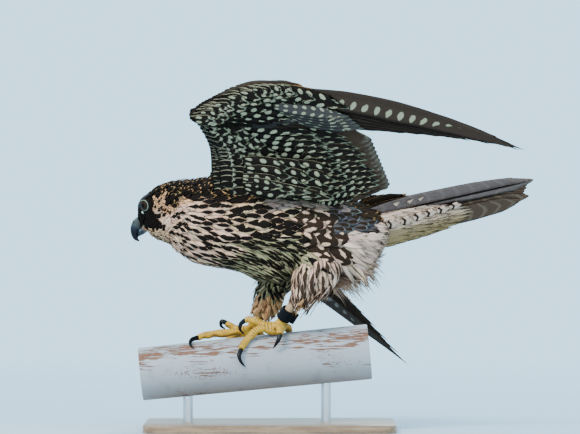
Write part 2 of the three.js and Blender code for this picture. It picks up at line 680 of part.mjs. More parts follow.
function perchSolid(grow = 0) {
  const { back, front, radius, taper, edge } = PERCH;
  const profile = [
    [0, -back - grow],
    [radius - taper - edge + grow, -back - grow],
    [radius - taper + grow, -back + edge - grow],
    [radius + taper + grow, front - edge + grow],
    [radius + taper - edge + grow, front + grow],
    [0, front + grow],
  ].map(([r, y]) => new THREE.Vector2(r, y));
  const tube = new THREE.LatheGeometry(profile, 32);
  tube.rotateZ(-90 * DEG);
  tube.rotateY(-PERCH.slope);
  return solidOf(tube.translate(PERCH.x, 0, PERCH.z));
}

function roundedPlate({ length, width, centreY, thick, corner, bevel }) {
  const [x, y] = [length / 2 - bevel, width / 2 - bevel];
  const outline = new THREE.Shape();
  outline.moveTo(-x + corner, -y);
  outline.lineTo(x - corner, -y);
  outline.absarc(x - corner, -y + corner, corner, -90 * DEG, 0);
  outline.absarc(x - corner, y - corner, corner, 0, 90 * DEG);
  outline.absarc(-x + corner, y - corner, corner, 90 * DEG, 180 * DEG);
  outline.absarc(-x + corner, -y + corner, corner, 180 * DEG, 270 * DEG);
  const plate = new THREE.ExtrudeGeometry(outline, {
    depth: thick - 2 * bevel, bevelThickness: bevel, bevelSize: bevel, bevelSegments: 1, curveSegments: 4,
  });
  return solidOf(plate.translate(0, centreY, bevel));
}

function standPieces() {
  const rods = Object.entries(ROD.places).map(([name, x]) => {
    const bottom = BASE.thick + GAP;
    const height = PERCH.z - bottom;
    const rod = new THREE.CylinderGeometry(ROD.radius, ROD.radius, height, ROD.sides);
    rod.rotateX(90 * DEG);
    rod.translate(x, 0, bottom + height / 2);
    return piece(`stand_rod_${name}`, cut(solidOf(rod), [perchSolid(GAP)]), 'steel');
  });
  return [piece('stand_base', roundedPlate(BASE), 'wood'), ...rods];
}

// Bands on the legs: a tall coloured one with a flange on the left, a low grey one on the right

const BANDS = {
  left: { at: 0.72, inner: 5.8, outer: 7.1, height: 12.5, flange: [5.2, 1.8], look: 'blackBand' },
  right: { at: 0.81, inner: 5.4, outer: 6.3, height: 5.5, look: 'greyBand' },
};

function bandPiece(side) {
  const band = BANDS[side];
  const half = band.height / 2;
  const ring = new THREE.LatheGeometry([
    [band.inner, -half], [band.outer, -half], [band.outer, half], [band.inner, half], [band.inner, -half],
  ].map(([r, y]) => new THREE.Vector2(r, y)), 20);
  const parts = [solidOf(ring)];
  if (band.flange) {
    const [reach, thick] = band.flange;
    const plate = new THREE.BoxGeometry(reach, band.height, thick);
    parts.push(solidOf(plate.translate(band.inner + 0.6 + reach / 2, 0, 0)));
  }
  const leg = LEGS[side];
  const axis = new THREE.Vector3().subVectors(tarsusAt(leg, 0), tarsusAt(leg, 1)).normalize();
  const outward = new THREE.Vector3(1, 0, 0).addScaledVector(axis, -axis.x).normalize();
  const pose = new THREE.Matrix4().makeBasis(outward, axis, outward.clone().cross(axis));
  pose.setPosition(tarsusAt(leg, band.at));
  return piece(`band_${side}`, fuse(parts).transform(pose.elements), band.look);
}

// Feathers of the thigh, in rings that hang down its length and end at one level over the next ring
const TROUSERS = { rings: 2, around: 6, from: 0.4, to: 0.74, length: 30, width: 21, lean: 9 * DEG };

function trouserLocks(leg, grow) {
  const { rings, around, from, to, length, width, lean } = TROUSERS;
  return row(rings, (i, t) => row(around, (j) => {
    const turn = (2 * Math.PI * (j + 0.5 * (i % 2))) / around;
    const station = THREE.MathUtils.lerp(from, to, t);
    const place = rootedOn(leg.thigh, station, turn, { lean: lean * (1 + noise(i, j)), upward: FORWARD });
    return vane(place, {
      root: [-6, 0],
      tip: [length * (1 - 0.35 * t) * (0.9 + 0.2 * noise(j, i)), 0],
      width: width * (1 - 0.45 * t),
      lift: -1, shape: 'lock', grow,
    });
  })).flat();
}

function thighSolid(leg, grow = 0) {
  return solidOf(loft(leg.thigh, { sides: 12, rows: 7, grow, upward: FORWARD }));
}

function trousers(leg, grow = 0) {
  return fuse([thighSolid(leg, grow), ...trouserLocks(leg, grow)]);
}

function legPieces(side) {
  const leg = LEGS[side];
  const claws = Object.entries(leg.claws);
  const foot = cut(fuse([
    footPad(leg.pad),
    tarsusPart(leg, { from: leg.footTop, to: 1.02 }),
    ...Object.values(leg.toes).map((points) => toeLoft(points)),
  ]), [perchSolid(GAP), ...claws.map(([, points]) => clawLoft(points, GAP))]);
  const gapShare = GAP / tarsusAt(leg, 0).distanceTo(tarsusAt(leg, 1));
  const tarsus = cut(tarsusPart(leg, { from: 0.12, to: leg.footTop - gapShare }), [thighSolid(leg, GAP)]);
  return [
    piece(`thigh_${side}`, cut(trousers(leg), [trunkSolid(GAP)]), 'breastFeather'),
    piece(`tarsus_${side}`, tarsus, 'footSkin'),
    piece(`foot_${side}`, foot, 'footSkin'),
    ...claws.map(([toe, points]) => {
      const claw = cut(clawLoft(points), [perchSolid(GAP)]);
      return piece(`claw_${side}_${toe}`, claw, 'claw');
    }),
    bandPiece(side),
  ];
}

function trunkPieces() {
  const trunk = trunkSolid();
  const neck = trunk.intersect(neckHalf(NECK_REAR_X - GAP / 2, true))
    .intersect(neckHalf(NECK_FRONT_X + GAP / 2, false));
  const legs = fuse(Object.values(LEGS).map((leg) => trousers(leg, 2 * GAP)));
  const vent = ventLocks().map((lock) => lock.subtract(legs));
  const torso = fuse([trunk.intersect(neckHalf(NECK_REAR_X + GAP / 2, false)), ...vent]);
  return [piece('neck', neck, 'headFeather'), piece('torso', torso, 'breastFeather')];
}

const falcon = new THREE.Group();
falcon.add(
  ...trunkPieces(),
  ...headPieces(),
  ...wingPieces('left'),
  ...wingPieces('right'),
  tailPiece(),
  ...legPieces('left'),
  ...legPieces('right'),
  piece('perch', perchSolid(), 'paintedTube'),
  ...standPieces(),
);

export default falcon;
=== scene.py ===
# %% [markdown]
# # A peregrine falcon on a cut length of painted tube
#
# A young falcon leans forward on a sloping tube, its near wing raised and folded back at the wrist. The
# CAD frame gives every part its place and size. This script dresses it: one skin under the body, then
# feathers laid over it in rows, and eyes, bill, feet, claws, leg bands, tube and stand as pieces of their
# own. Sizes are in millimetres, as in the part's source, and turned to metres when a mesh is made.

import math

import bpy
import numpy as np
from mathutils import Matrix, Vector
from mathutils.bvhtree import BVHTree
from mathutils.kdtree import KDTree


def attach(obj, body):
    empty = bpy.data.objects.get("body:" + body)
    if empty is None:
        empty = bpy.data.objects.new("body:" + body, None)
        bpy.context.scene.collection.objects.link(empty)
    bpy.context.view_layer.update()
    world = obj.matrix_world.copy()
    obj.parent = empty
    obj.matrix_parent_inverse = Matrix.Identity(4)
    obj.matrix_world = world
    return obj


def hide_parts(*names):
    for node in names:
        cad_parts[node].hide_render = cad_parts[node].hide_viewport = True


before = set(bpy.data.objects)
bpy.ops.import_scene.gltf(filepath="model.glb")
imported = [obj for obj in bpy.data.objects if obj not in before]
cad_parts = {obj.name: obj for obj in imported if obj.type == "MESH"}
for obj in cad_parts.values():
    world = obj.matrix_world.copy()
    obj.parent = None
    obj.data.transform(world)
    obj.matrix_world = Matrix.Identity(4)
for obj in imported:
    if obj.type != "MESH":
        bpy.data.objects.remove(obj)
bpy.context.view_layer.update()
MM = 0.001
rng = np.random.default_rng(7)

# %% [markdown]
# ## Sizes that the whole bird is built from
#
# A body can be drawn by a few sections strung along a smooth line, as a boat is drawn by its ribs. Each
# station below is a place and three half sizes: to the side, up and down. The same stations shape the CAD
# solids, so that skin and solids agree.

# %% Stations of the body
BODY_ROLL = math.radians(22)
BODY_UP = np.array((0, math.sin(BODY_ROLL), math.cos(BODY_ROLL)))
TRUNK = [
    ((-118, 2, 222), (20, 22, 24)),
    ((-105, 1, 217.5), (26, 29, 30)),
    ((-92, 0, 216.5), (33, 35, 35.5)),
    ((-80, 0, 213.5), (39, 40.5, 41)),
    ((-65, 0, 210), (44, 47, 47)),
    ((-40, 0, 209.5), (47, 50, 50.5)),
    ((-10, 0, 206), (48, 51, 52)),
    ((20, 0, 201), (46, 50, 50)),
    ((48, 0, 198), (41, 45, 50)),
    ((75, 0, 201), (33, 35, 45)),
    ((97, 0, 209), (24, 22, 36)),
    ((110, 0, 214), (16, 10, 22)),
]
SKULL = [
    ((-27, -15, -30), (27, 27, 27)),
    ((-20, -9, -19), (28, 27, 28)),
    ((-12, -3, -8.5), (25.5, 21, 24)),
    ((-4, 0, -2.5), (21.5, 15.5, 17.5)),
    ((6, 0, -2), (17.5, 13, 14.5)),
    ((14, 0, -3.5), (13, 9.5, 10)),
    ((20, 0, -4.5), (9.5, 6.8, 8)),
    ((24, 0, -4.5), (6, 4, 6)),
]
THIGHS = {
    "left": [
        ((52, -14, 178), (20, 24, 26)),
        ((46, -22, 164), (23, 26, 24)),
        ((38, -28, 150), (17, 19, 17)),
        ((31, -28, 138), (11, 12, 10)),
        ((25, -23.6, 129), (6.5, 7, 6.5)),
    ],
    "right": [
        ((22, 14, 176), (20, 22, 26)),
        ((14, 22, 162), (21, 22, 22)),
        ((5, 27, 146), (15, 16, 15)),
        ((-4, 25, 130), (11.5, 12, 11.5)),
        ((-10.4, 20, 119.5), (8.5, 9, 8.5)),
        ((-12.8, 17.8, 113.6), (6, 6, 6)),
    ],
}
HEAD_AT = np.array((-116.3, 2.0, 224.0))
HEAD_YAW = math.radians(28)
HEAD_PITCH = math.radians(40)
print("stations:", len(TRUNK), "trunk,", len(SKULL), "skull")

# %% [markdown]
# ## Smooth lines, lofts and place functions
#
# A Catmull-Rom curve passes through every station. A loft samples it, turns a ring of points square to
# the line at each step and joins the rings. Because so many pieces need this, it is one function that
# works on arrays, which is far quicker than moving vertices one by one. The head is turned on the neck, so
# its stations are given in its own directions and set in the frame by one more function.

# %% Curves and units
def through(points, count=None, at=None):
    """Points on a smooth centripetal curve through the given ones, at even parameters or at `at`."""
    points = np.asarray(points, float)
    at = np.linspace(0, 1, count) if at is None else np.atleast_1d(at)
    padded = np.vstack([2 * points[0] - points[1], points, 2 * points[-1] - points[-2]])
    spot = np.clip(at, 0, 1) * (len(points) - 1)
    first = np.minimum(spot.astype(int), len(points) - 2)
    share = (spot - first)[:, None]
    p0, p1, p2, p3 = (padded[first + k] for k in range(4))
    d0, d1, d2 = (
        np.maximum(np.sqrt(np.linalg.norm(b - a, axis=1, keepdims=True)), 1e-4)
        for a, b in ((p0, p1), (p1, p2), (p2, p3))
    )
    leave = ((p1 - p0) / d0 - (p2 - p0) / (d0 + d1) + (p2 - p1) / d1) * d1
    arrive = ((p2 - p1) / d1 - (p3 - p1) / (d1 + d2) + (p3 - p2) / d2) * d1
    cubic = 2 * p1 - 2 * p2 + leave + arrive
    square = -3 * p1 + 3 * p2 - 2 * leave - arrive
    return p1 + leave * share + square * share**2 + cubic * share**3


def unit(vectors):
    vectors = np.asarray(vectors, float)
    return vectors / np.maximum(np.linalg.norm(vectors, axis=-1, keepdims=True), 1e-9)


def full_turn(sides):
    return np.linspace(0, 2 * math.pi, sides, endpoint=False)


print("middle of the trunk's line:", through([at for at, size in TRUNK], at=0.5)[0].round(1))


# %% Lofts and their faces
def rings(stations, count, sides, grow=0.0, upward=(0, 0, 1)):
    """A count × sides grid of points round the line of a list of stations."""
    places = through([at for at, size in stations], count)
    sizes = through([size for at, size in stations], count)
    forward = unit(np.gradient(places, axis=0))
    side = unit(np.cross(forward, np.array(upward, float)))
    top = unit(np.cross(side, forward))
    turn = full_turn(sides)
    s, c = np.sin(turn)[None, :, None], np.cos(turn)[None, :, None]
    reach = np.where(c > 0, sizes[:, None, 1:2], sizes[:, None, 2:3]) + grow
    wide = sizes[:, None, 0:1] + grow
    return places[:, None] + side[:, None] * s * wide + top[:, None] * c * reach


def hoop_faces(turns, sides, open_steps=0):
    """Quads of a closed hoop: a ring of small rings, the last joined to the first."""
    return [
        (i * sides + j, i * sides + (j + 1) % sides, (i + 1) % turns * sides + (j + 1) % sides,
         (i + 1) % turns * sides + j)
        for i in range(turns - open_steps) for j in range(sides)
    ]


def tube_faces(count, sides):
    """The same for a tube, which isn't closed on itself but has a flat cap at each end."""
    last = (count - 1) * sides
    caps = [tuple(reversed(range(sides))), tuple(range(last, last + sides))]
    return hoop_faces(count, sides, open_steps=1) + caps


def turned_out(points, faces):
    """The faces, reversed if the closed body that they make is inside out."""
    volume = 0.0
    for face in faces:
        for k in range(1, len(face) - 1):
            volume += np.dot(points[face[0]], np.cross(points[face[k]], points[face[k + 1]]))
    return [tuple(reversed(face)) for face in faces] if volume < 0 else faces


# %% From the head to the frame and back
def head_place(points):
    """Head coordinates (forward, left, up) to the frame's."""
    points = np.asarray(points, float)
    c, s = math.cos(HEAD_PITCH), math.sin(HEAD_PITCH)
    x, y = points[..., 0] * c + points[..., 2] * s, points[..., 1]
    z = points[..., 2] * c - points[..., 0] * s
    c, s = math.cos(math.pi - HEAD_YAW), math.sin(math.pi - HEAD_YAW)
    return HEAD_AT + np.stack([c * x - s * y, s * x + c * y, z], axis=-1)


def head_coordinates(points):
    """The other way: the frame's coordinates to the head's."""
    d = np.asarray(points, float) - HEAD_AT
    c, s = math.cos(math.pi - HEAD_YAW), math.sin(math.pi - HEAD_YAW)
    x, y, z = c * d[..., 0] + s * d[..., 1], -s * d[..., 0] + c * d[..., 1], d[..., 2]
    c, s = math.cos(HEAD_PITCH), math.sin(HEAD_PITCH)
    return np.stack([c * x - s * z, y, s * x + c * z], axis=-1)


print("bill tip at", head_place((37, 0, -16)).round(1))

# %% Making a piece from points and faces
def deselect():
    """Leaves edit mode, if a step before stayed in it, and selects nothing."""
    if bpy.context.object and bpy.context.object.mode != "OBJECT":
        bpy.ops.object.mode_set(mode="OBJECT")
    bpy.ops.object.select_all(action="DESELECT")


def select(piece):
    deselect()
    piece.select_set(True)
    bpy.context.view_layer.objects.active = piece


def new_piece(name, points, faces, smooth=True):
    mesh = bpy.data.meshes.new(name)
    mesh.from_pydata((np.asarray(points) * MM).tolist(), [], faces)
    mesh.update()
    piece = bpy.data.objects.new(name, mesh)
    bpy.context.scene.collection.objects.link(piece)
    if smooth:
        mesh.shade_smooth()
    return piece


def closed_piece(name, points, faces, smooth=True):
    """A piece from a closed body's faces, turned outwards first if they need it."""
    return new_piece(name, points, turned_out(points, faces), smooth)


def apply_place(piece):
    select(piece)
    bpy.ops.object.transform_apply(location=True, rotation=True, scale=True)


def dress(piece, material, slot, *nodes):
    """Gives a piece its material, its place in the part and the CAD nodes that it stands for."""
    piece.data.materials.clear()
    piece.data.materials.append(material)
    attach(piece, "root")
    if nodes:
        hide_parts(*nodes)


def joined(pieces, name):
    select(pieces[0])
    for piece in pieces[1:]:
        piece.select_set(True)
    if len(pieces) > 1:
        bpy.ops.object.join()
    result = bpy.context.object
    result.name = name
    result.data.name = name
    return result


def apply_modifier(piece, kind, **settings):
    select(piece)
    modifier = piece.modifiers.new(kind.lower(), kind)
    for setting, value in settings.items():
        setattr(modifier, setting, value)
    bpy.ops.object.modifier_apply(modifier=modifier.name)


def melted(piece, voxel, factor, turns):
    """Melts the closed bodies of a piece into one skin and takes the voxel steps off."""
    select(piece)
    piece.data.remesh_voxel_size = voxel * MM
    bpy.ops.object.voxel_remesh()
    apply_modifier(piece, "SMOOTH", factor=factor, iterations=turns)
    piece.data.shade_smooth()


SHARP = math.radians(35)


def smooth_but_edges(piece):
    select(piece)
    bpy.ops.object.shade_smooth_by_angle(angle=SHARP)


def softened(piece, width, segments=3):
    """Breaks the sharp edges of a piece with an applied Bevel modifier."""
    apply_modifier(piece, "BEVEL", width=width * MM, segments=segments, limit_method="ANGLE",
                   angle_limit=math.radians(40))
    smooth_but_edges(piece)


# %% Painting a piece, and its points as arrays
def vertex_arrays(piece):
    mesh = piece.data
    points, normals = np.empty(len(mesh.vertices) * 3), np.empty(len(mesh.vertices) * 3)
    mesh.vertices.foreach_get("co", points)
    mesh.vertices.foreach_get("normal", normals)
    return points.reshape(-1, 3) / MM, normals.reshape(-1, 3)


def opaque(colours):
    return np.hstack([colours, np.ones((len(colours), 1))])


def paint(piece, name, values, kind="FLOAT_COLOR"):
    """Stores one value a vertex, which a material reads by name."""
    layer = piece.data.attributes.new(name, kind, "POINT")
    values = np.asarray(values, np.float32)
    layer.data.foreach_set("color" if kind == "FLOAT_COLOR" else "value", values.ravel())


print("helpers ready")

# %% [markdown]
# ## Writing shader maths as Python
#
# A material is a graph of nodes. Wiring them by hand hides the idea, so a socket is wrapped in a small
# class: a sum on wrapped sockets adds the Math node for it. A second class holds a material and adds any
# other node, so a finish further down reads like a formula.

# %% A socket that can be calculated with
class Wire:
    def __init__(self, tree, socket):
        self.tree = tree
        self.socket = socket

    def math(self, operation, *values, clamp=False):
        node = self.tree.nodes.new("ShaderNodeMath")
        node.operation = operation
        node.use_clamp = clamp
        for slot, value in zip(node.inputs, values):
            plug(self.tree, slot, value)
        return Wire(self.tree, node.outputs[0])

    def __rsub__(self, other):
        return self.math("SUBTRACT", other, self)

    def absolute(self):
        return self.math("ABSOLUTE", self)

    def wave(self):
        return self.math("SINE", self * (2 * math.pi))

    def fraction(self):
        return self.math("FRACT", self)

    def step(self, low, high):
        """0 below low, 1 above high, a smooth rise between."""
        node = self.tree.nodes.new("ShaderNodeMapRange")
        node.interpolation_type = "SMOOTHSTEP"
        for name, value in (("Value", self), ("From Min", low), ("From Max", high)):
            plug(self.tree, node.inputs[name], value)
        return Wire(self.tree, node.outputs["Result"])


def with_another(operation):
    """A method that does one operation with this wire and another value."""
    return lambda self, other: self.math(operation, self, other)


METHODS = {
    "__add__": "ADD", "__radd__": "ADD", "__sub__": "SUBTRACT", "__mul__": "MULTIPLY", "__rmul__": "MULTIPLY",
    "__truediv__": "DIVIDE", "__pow__": "POWER", "at_most": "MINIMUM", "at_least": "MAXIMUM",
}
for name, operation in METHODS.items():
    setattr(Wire, name, with_another(operation))


def plug(tree, slot, value):
    """Links a wire to a socket, or sets the socket to a plain value."""
    if isinstance(value, Wire):
        tree.links.new(value.socket, slot)
    elif isinstance(value, tuple) and len(value) == 3 and slot.type == "RGBA":
        slot.default_value = (*value, 1)
    else:
        slot.default_value = value


# %% A material to drive with it
class Finish:
    """A material with one Principled shader, whose sockets are set or driven by name."""

    def __init__(self, name, **constants):
        self.material = bpy.data.materials.new(name)
        self.material.use_nodes = True
        self.tree = self.material.node_tree
        self.shader = self.tree.nodes["Principled BSDF"]
        for socket, value in constants.items():
            plug(self.tree, self.shader.inputs[socket.replace("_", " ")], value)

    def node(self, kind, inputs=None, out=0, **settings):
        node = self.tree.nodes.new("ShaderNode" + kind)
        for name, value in settings.items():
            setattr(node, name, value)
        for name, value in (inputs or {}).items():
            plug(self.tree, node.inputs[name], value)
        return Wire(self.tree, node.outputs[out])

    def place(self):
        return self.node("TexCoord", out="Object")

    def painted(self, name, out="Color"):
        """A colour attribute of the mesh, or a number with out="Fac"."""
        return self.node("Attribute", out=out, attribute_name=name)

    def parts(self, value, kind="SeparateXYZ"):
        """The three parts of a vector or, with SeparateColor, of a colour."""
        node = self.tree.nodes.new("ShaderNode" + kind)
        plug(self.tree, node.inputs[0], value)
        return [Wire(self.tree, output) for output in node.outputs]

    def mixed(self, share, under, over, blend="MIX"):
        return self.node("Mix", {0: share, 6: under, 7: over}, out=2, data_type="RGBA", blend_type=blend)

    def noise(self, scale, detail=3.0, stretch=None):
        vector = self.place()
        if stretch:
            vector = self.node("Mapping", {"Vector": vector, "Scale": stretch})
        return self.node("TexNoise", {"Vector": vector, "Scale": scale, "Detail": detail})

    def drive(self, **links):
        for socket, value in links.items():
            plug(self.tree, self.shader.inputs[socket.replace("_", " ")], value)
        return self.material

    def bumped(self, height, distance):
        return self.node("Bump", {"Height": height, "Distance": distance * MM, "Strength": 1.0})


print("wires know:", ", ".join(name for name in vars(Wire) if not name.startswith("_")))

# %% [markdown]
# ## The colours of a young falcon
#
# Plumage is dark brown above and cream below, with a dark drop along each breast feather, heart shapes
# on the flanks and thin lines on the thighs. A feather's markings repeat from feather to feather, so one
# finish draws them all on the vane's own map: across it from 0 to 1 and along it from root to tip. Each
# feather carries its ground, mark and edge colours and its habit: how wide the streak is, how many bars
# there are (a twentieth of their number, as a colour holds 0 to 1), how broad the pale edge is and how far
# the bars reach. A reach above full draws them right across the vane.

# %% Plumage colours
BAR_SCALE = 20
FULL_REACH = (1.2, 1.3)
CREAM = (0.60, 0.37, 0.22)
PINK_CREAM = (0.66, 0.39, 0.26)
# a darker olive cream: painted shade, cream as it looks on the shaded underside
SHADED_OLIVE_CREAM = (0.30, 0.24, 0.125)
BUFF = (0.55, 0.28, 0.12)
WHITE_BUFF = (0.70, 0.46, 0.33)
RUSTY = (0.66, 0.34, 0.17)
NEAR_BLACK = (0.009, 0.006, 0.0045)
DARK_BROWN = (0.026, 0.015, 0.009)
MID_BROWN = (0.085, 0.048, 0.028)
GREY_BROWN = (0.25, 0.17, 0.135)
SLATE = (0.064, 0.056, 0.056)
PALE_GREEN_GREY = (0.27, 0.26, 0.165)


def feather_finish(name, barbs, bump, roughness, one_web=False):
    """The finish of a vane; barbs is the number of fine ridges that run off its shaft."""
    look = Finish(name, Roughness=roughness, Specular_IOR_Level=0.04)
    across, along = look.parts(look.node("UVMap", uv_map="vane"))[:2]
    off = (across * 2 - 1).absolute()
    ground, mark, edge = (look.painted(layer) for layer in ("ground", "mark", "edge"))
    streak, bars, fringe = look.parts(look.painted("habit"), "SeparateColor")
    reach = look.painted("habit", out="Alpha")
    cloud = look.noise(260, 2.0)
    fine = ((along - off * 0.35) * barbs).wave() * 0.5 + 0.5
    ragged = (cloud - 0.5) * 0.36 + (fine - 0.5) * 0.07
    drop = streak * along.step(0.12, 0.8) * 1.15 * (1.06 - along).step(0.0, 0.16)
    shaft_streak = 1 - (off + ragged * 1.1 - drop).step(-0.05, 0.05)
    has_streak = streak.step(0.01, 0.03)
    turn_of_bar = (along * bars * BAR_SCALE + off * 0.25 + ragged * 0.45).fraction() - 0.5
    full_bar = reach.step(*FULL_REACH)
    from_middle = ((off + ragged * 0.4 - reach * 0.5 - 0.09) / (reach * 0.36 + 0.001)) ** 2
    half_long = 0.25 - full_bar * 0.11 - (1 - bars.step(0.045, 0.055)) * 0.155
    oval = (turn_of_bar / half_long) ** 2 + from_middle * (1 - full_bar)
    spots = (1 - oval.step(0.65, 1.1)) * bars.step(0.01, 0.02) * reach.step(0.02, 0.1)
    if one_web:
        spots = spots * across.step(0.5, 0.54)
    marks = (shaft_streak * has_streak).at_least(spots)
    rim = off.at_least(along * 1.02) + ragged * 0.15
    margin = rim.step(1 - fringe, 1.04 - fringe * 0.8) * fringe.step(0.01, 0.02)
    colour = look.mixed(marks, ground, mark)
    colour = look.mixed(margin * (1 - marks * 0.35), colour, edge)
    shade = 0.8 + fine * 0.12 + cloud * 0.2
    grey = look.node("CombineColor", {0: shade, 1: shade, 2: shade})
    colour = look.mixed(1.0, colour, grey, "MULTIPLY")
    rib = 1 - off.step(0.02, 0.09)
    normal = look.bumped(fine * 0.5 + rib * 1.2, bump)
    return look.drive(Base_Color=colour, Normal=normal)


small_feather = feather_finish("small_feather", 16, 0.25, 0.72)
long_feather = feather_finish("wing_quill_feather", 150, 0.16, 0.55, one_web=True)
tail_quill_feather = feather_finish("tail_quill_feather", 110, 0.16, 0.6)


def skin_finish():
    look = Finish("down_and_skin", Roughness=0.85, Specular_IOR_Level=0.05)
    ground, mark = look.painted("ground"), look.painted("mark")
    patchy = look.noise(330, 3.0).step(0.42, 0.6)
    colour = look.mixed(patchy * look.painted("cover", out="Fac"), ground, mark)
    return look.drive(Base_Color=colour, Normal=look.bumped(look.noise(500), 0.5))


down = skin_finish()
print("finishes:", small_feather.name, long_feather.name, tail_quill_feather.name, down.name)

# %% [markdown]
# ## The display base
#
# A flat plate of oiled wood with rounded corners carries the two rods. A plate is a cube made wide and
# thin: its four upright edges are bevelled to the corner radius, then a small bevel all round breaks the
# sharp edge, as sandpaper would.

# %% Base plate
BASE = {"length": 250, "width": 190, "thick": 8, "centre_y": 5, "corner": 14, "edge": 1}


def wood_finish():
    look = Finish("oiled_wood", Roughness=0.42, Coat_Weight=0.15, Coat_Roughness=0.3)
    grain = look.noise(14, 6.0, stretch=(1.5, 16, 16))
    pores = look.noise(60, 3.0, stretch=(2, 60, 60)).step(0.55, 0.7)
    light = look.mixed(grain.step(0.35, 0.68), (0.20, 0.105, 0.05), (0.36, 0.21, 0.11))
    colour = look.mixed(pores * 0.6, light, (0.10, 0.05, 0.025))
    return look.drive(Base_Color=colour, Normal=look.bumped(grain - pores, 0.12))


deselect()
bpy.ops.mesh.primitive_cube_add(size=1, location=(0, BASE["centre_y"] * MM, BASE["thick"] / 2 * MM))
base = bpy.context.object
base.scale = (BASE["length"] * MM, BASE["width"] * MM, BASE["thick"] * MM)
apply_place(base)
bpy.ops.object.mode_set(mode="EDIT")
bpy.ops.mesh.select_mode(type="EDGE")
bpy.ops.mesh.select_all(action="DESELECT")
bpy.ops.object.mode_set(mode="OBJECT")
for edge in base.data.edges:
    ends = [base.data.vertices[i].co for i in edge.vertices]
    edge.select = abs(ends[0].z - ends[1].z) > BASE["thick"] / 2 * MM
bpy.ops.object.mode_set(mode="EDIT")
bpy.ops.mesh.bevel(offset=BASE["corner"] * MM, segments=10)
bpy.ops.object.mode_set(mode="OBJECT")


softened(base, BASE["edge"])
base.name = base.data.name = "display_base"
dress(base, wood_finish(), "base_wood", "stand_base")
print("base faces:", len(base.data.polygons))

# %% [markdown]
# ## The tube and its two rods
#
# The bird grips a short length of sloping tube with flaking pale paint. A cylinder gives the tube; both
# rims are rounded, and the rear end is a little wider than the front. The wear is all in the finish:
# stretched noise makes scuffs that run along the tube, denser near its top, where feet land.

# %% Tube
TUBE = {"x": 8, "z": 69.4, "slope": math.radians(5.62), "radius": 27, "taper": 0.6, "back": 138, "front": 92}
TUBE_RIM = 1.2
TUBE_AXIS = Vector((math.cos(TUBE["slope"]), 0, math.sin(TUBE["slope"])))


def paint_finish():
    look = Finish("worn_paint", Metallic=0.0, Specular_IOR_Level=0.15)
    x, y, z = look.parts(look.place())
    height = (z - TUBE["z"] * MM - (x - TUBE["x"] * MM) * math.tan(TUBE["slope"])) / (TUBE["radius"] * MM)
    long_scuffs = look.noise(210, 8.0, stretch=(0.2, 3.0, 3.0))
    blots = look.noise(18, 6.0, stretch=(0.6, 1.8, 1.8))
    specks = look.noise(520, 2.0)
    top_wear = (1 - (height - 0.62).absolute() / 0.5).at_least(0.0)
    worn = (long_scuffs + (blots - 0.5) * 0.65 + top_wear * 0.24).step(0.665, 0.715)
    chips = (specks * blots).step(0.34, 0.38)
    bare = worn.at_least(chips * 0.75)
    chalk = look.mixed(look.noise(9, 4.0), (0.27, 0.27, 0.285), (0.44, 0.44, 0.45))
    chalk = look.mixed(look.noise(70, 5.0).step(0.5, 0.75) * 0.35, chalk, (0.17, 0.165, 0.165))
    rust = look.mixed(look.noise(160, 4.0), (0.09, 0.04, 0.025), (0.28, 0.13, 0.08))
    colour = look.mixed(bare, chalk, rust)
    surface = look.noise(120, 4.0) * 0.4 - bare
    return look.drive(Base_Color=colour, Roughness=bare * 0.3 + 0.42, Normal=look.bumped(surface, 0.18))


deselect()
middle = Vector((TUBE["x"], 0, TUBE["z"])) + TUBE_AXIS * ((TUBE["front"] - TUBE["back"]) / 2)
bpy.ops.mesh.primitive_cylinder_add(
    vertices=128, radius=TUBE["radius"] * MM, depth=(TUBE["front"] + TUBE["back"]) * MM,
    location=middle * MM, rotation=(0, math.pi / 2 - TUBE["slope"], 0),
)
tube = bpy.context.object
for vertex in tube.data.vertices:
    share = 1 + math.copysign(TUBE["taper"] / TUBE["radius"], vertex.co.z)
    vertex.co.x *= share
    vertex.co.y *= share
apply_place(tube)
softened(tube, TUBE_RIM, 4)
tube.name = tube.data.name = "painted_tube"
dress(tube, paint_finish(), "painted_tube", "perch")

# %% Rods
ROD_RADIUS = 5
ROD_INTO_TUBE = 0.3
steel = Finish("brushed_steel", Base_Color=(0.55, 0.56, 0.57), Metallic=1.0, Roughness=0.28).material
for name, x in (("front", -82), ("rear", 56)):
    underside = TUBE["z"] + (x - TUBE["x"]) * math.tan(TUBE["slope"]) - TUBE["radius"]
    top = underside + ROD_INTO_TUBE
    deselect()
    bpy.ops.mesh.primitive_cylinder_add(
        vertices=64, radius=ROD_RADIUS * MM, depth=(top - BASE["thick"]) * MM,
        location=(x * MM, 0, (top + BASE["thick"]) / 2 * MM),
    )
    rod = bpy.context.object
    apply_place(rod)
    smooth_but_edges(rod)
    rod.name = rod.data.name = "rod_" + name
    dress(rod, steel, "rod_steel", "stand_rod_" + name)
half_tube = TUBE_AXIS * ((TUBE["front"] + TUBE["back"]) / 2)
print("tube from", (middle - half_tube).to_tuple(1), "to", (middle + half_tube).to_tuple(1))

# %% [markdown]
# ## Leg bands
#
# Two closed rings sit on the shanks: a tall black one with a flange and a low grey one. A ring is a small
# outline turned round an axis. The flange is a thin block with three pressed ridges, joined on.

# %% Band sizes and shapes
SHANKS = {"left": ((33, -30, 142), (9.5, -12.4, 106)), "right": ((2, 29, 141), (-20, 12, 100))}
BANDS = {
    "left": {"at": 0.72, "inner": 5.8, "outer": 7.1, "height": 12.5, "flange": 5.2, "slot": "black_band"},
    "right": {"at": 0.81, "inner": 5.4, "outer": 6.3, "height": 5.5, "flange": 0, "slot": "grey_band"},
}


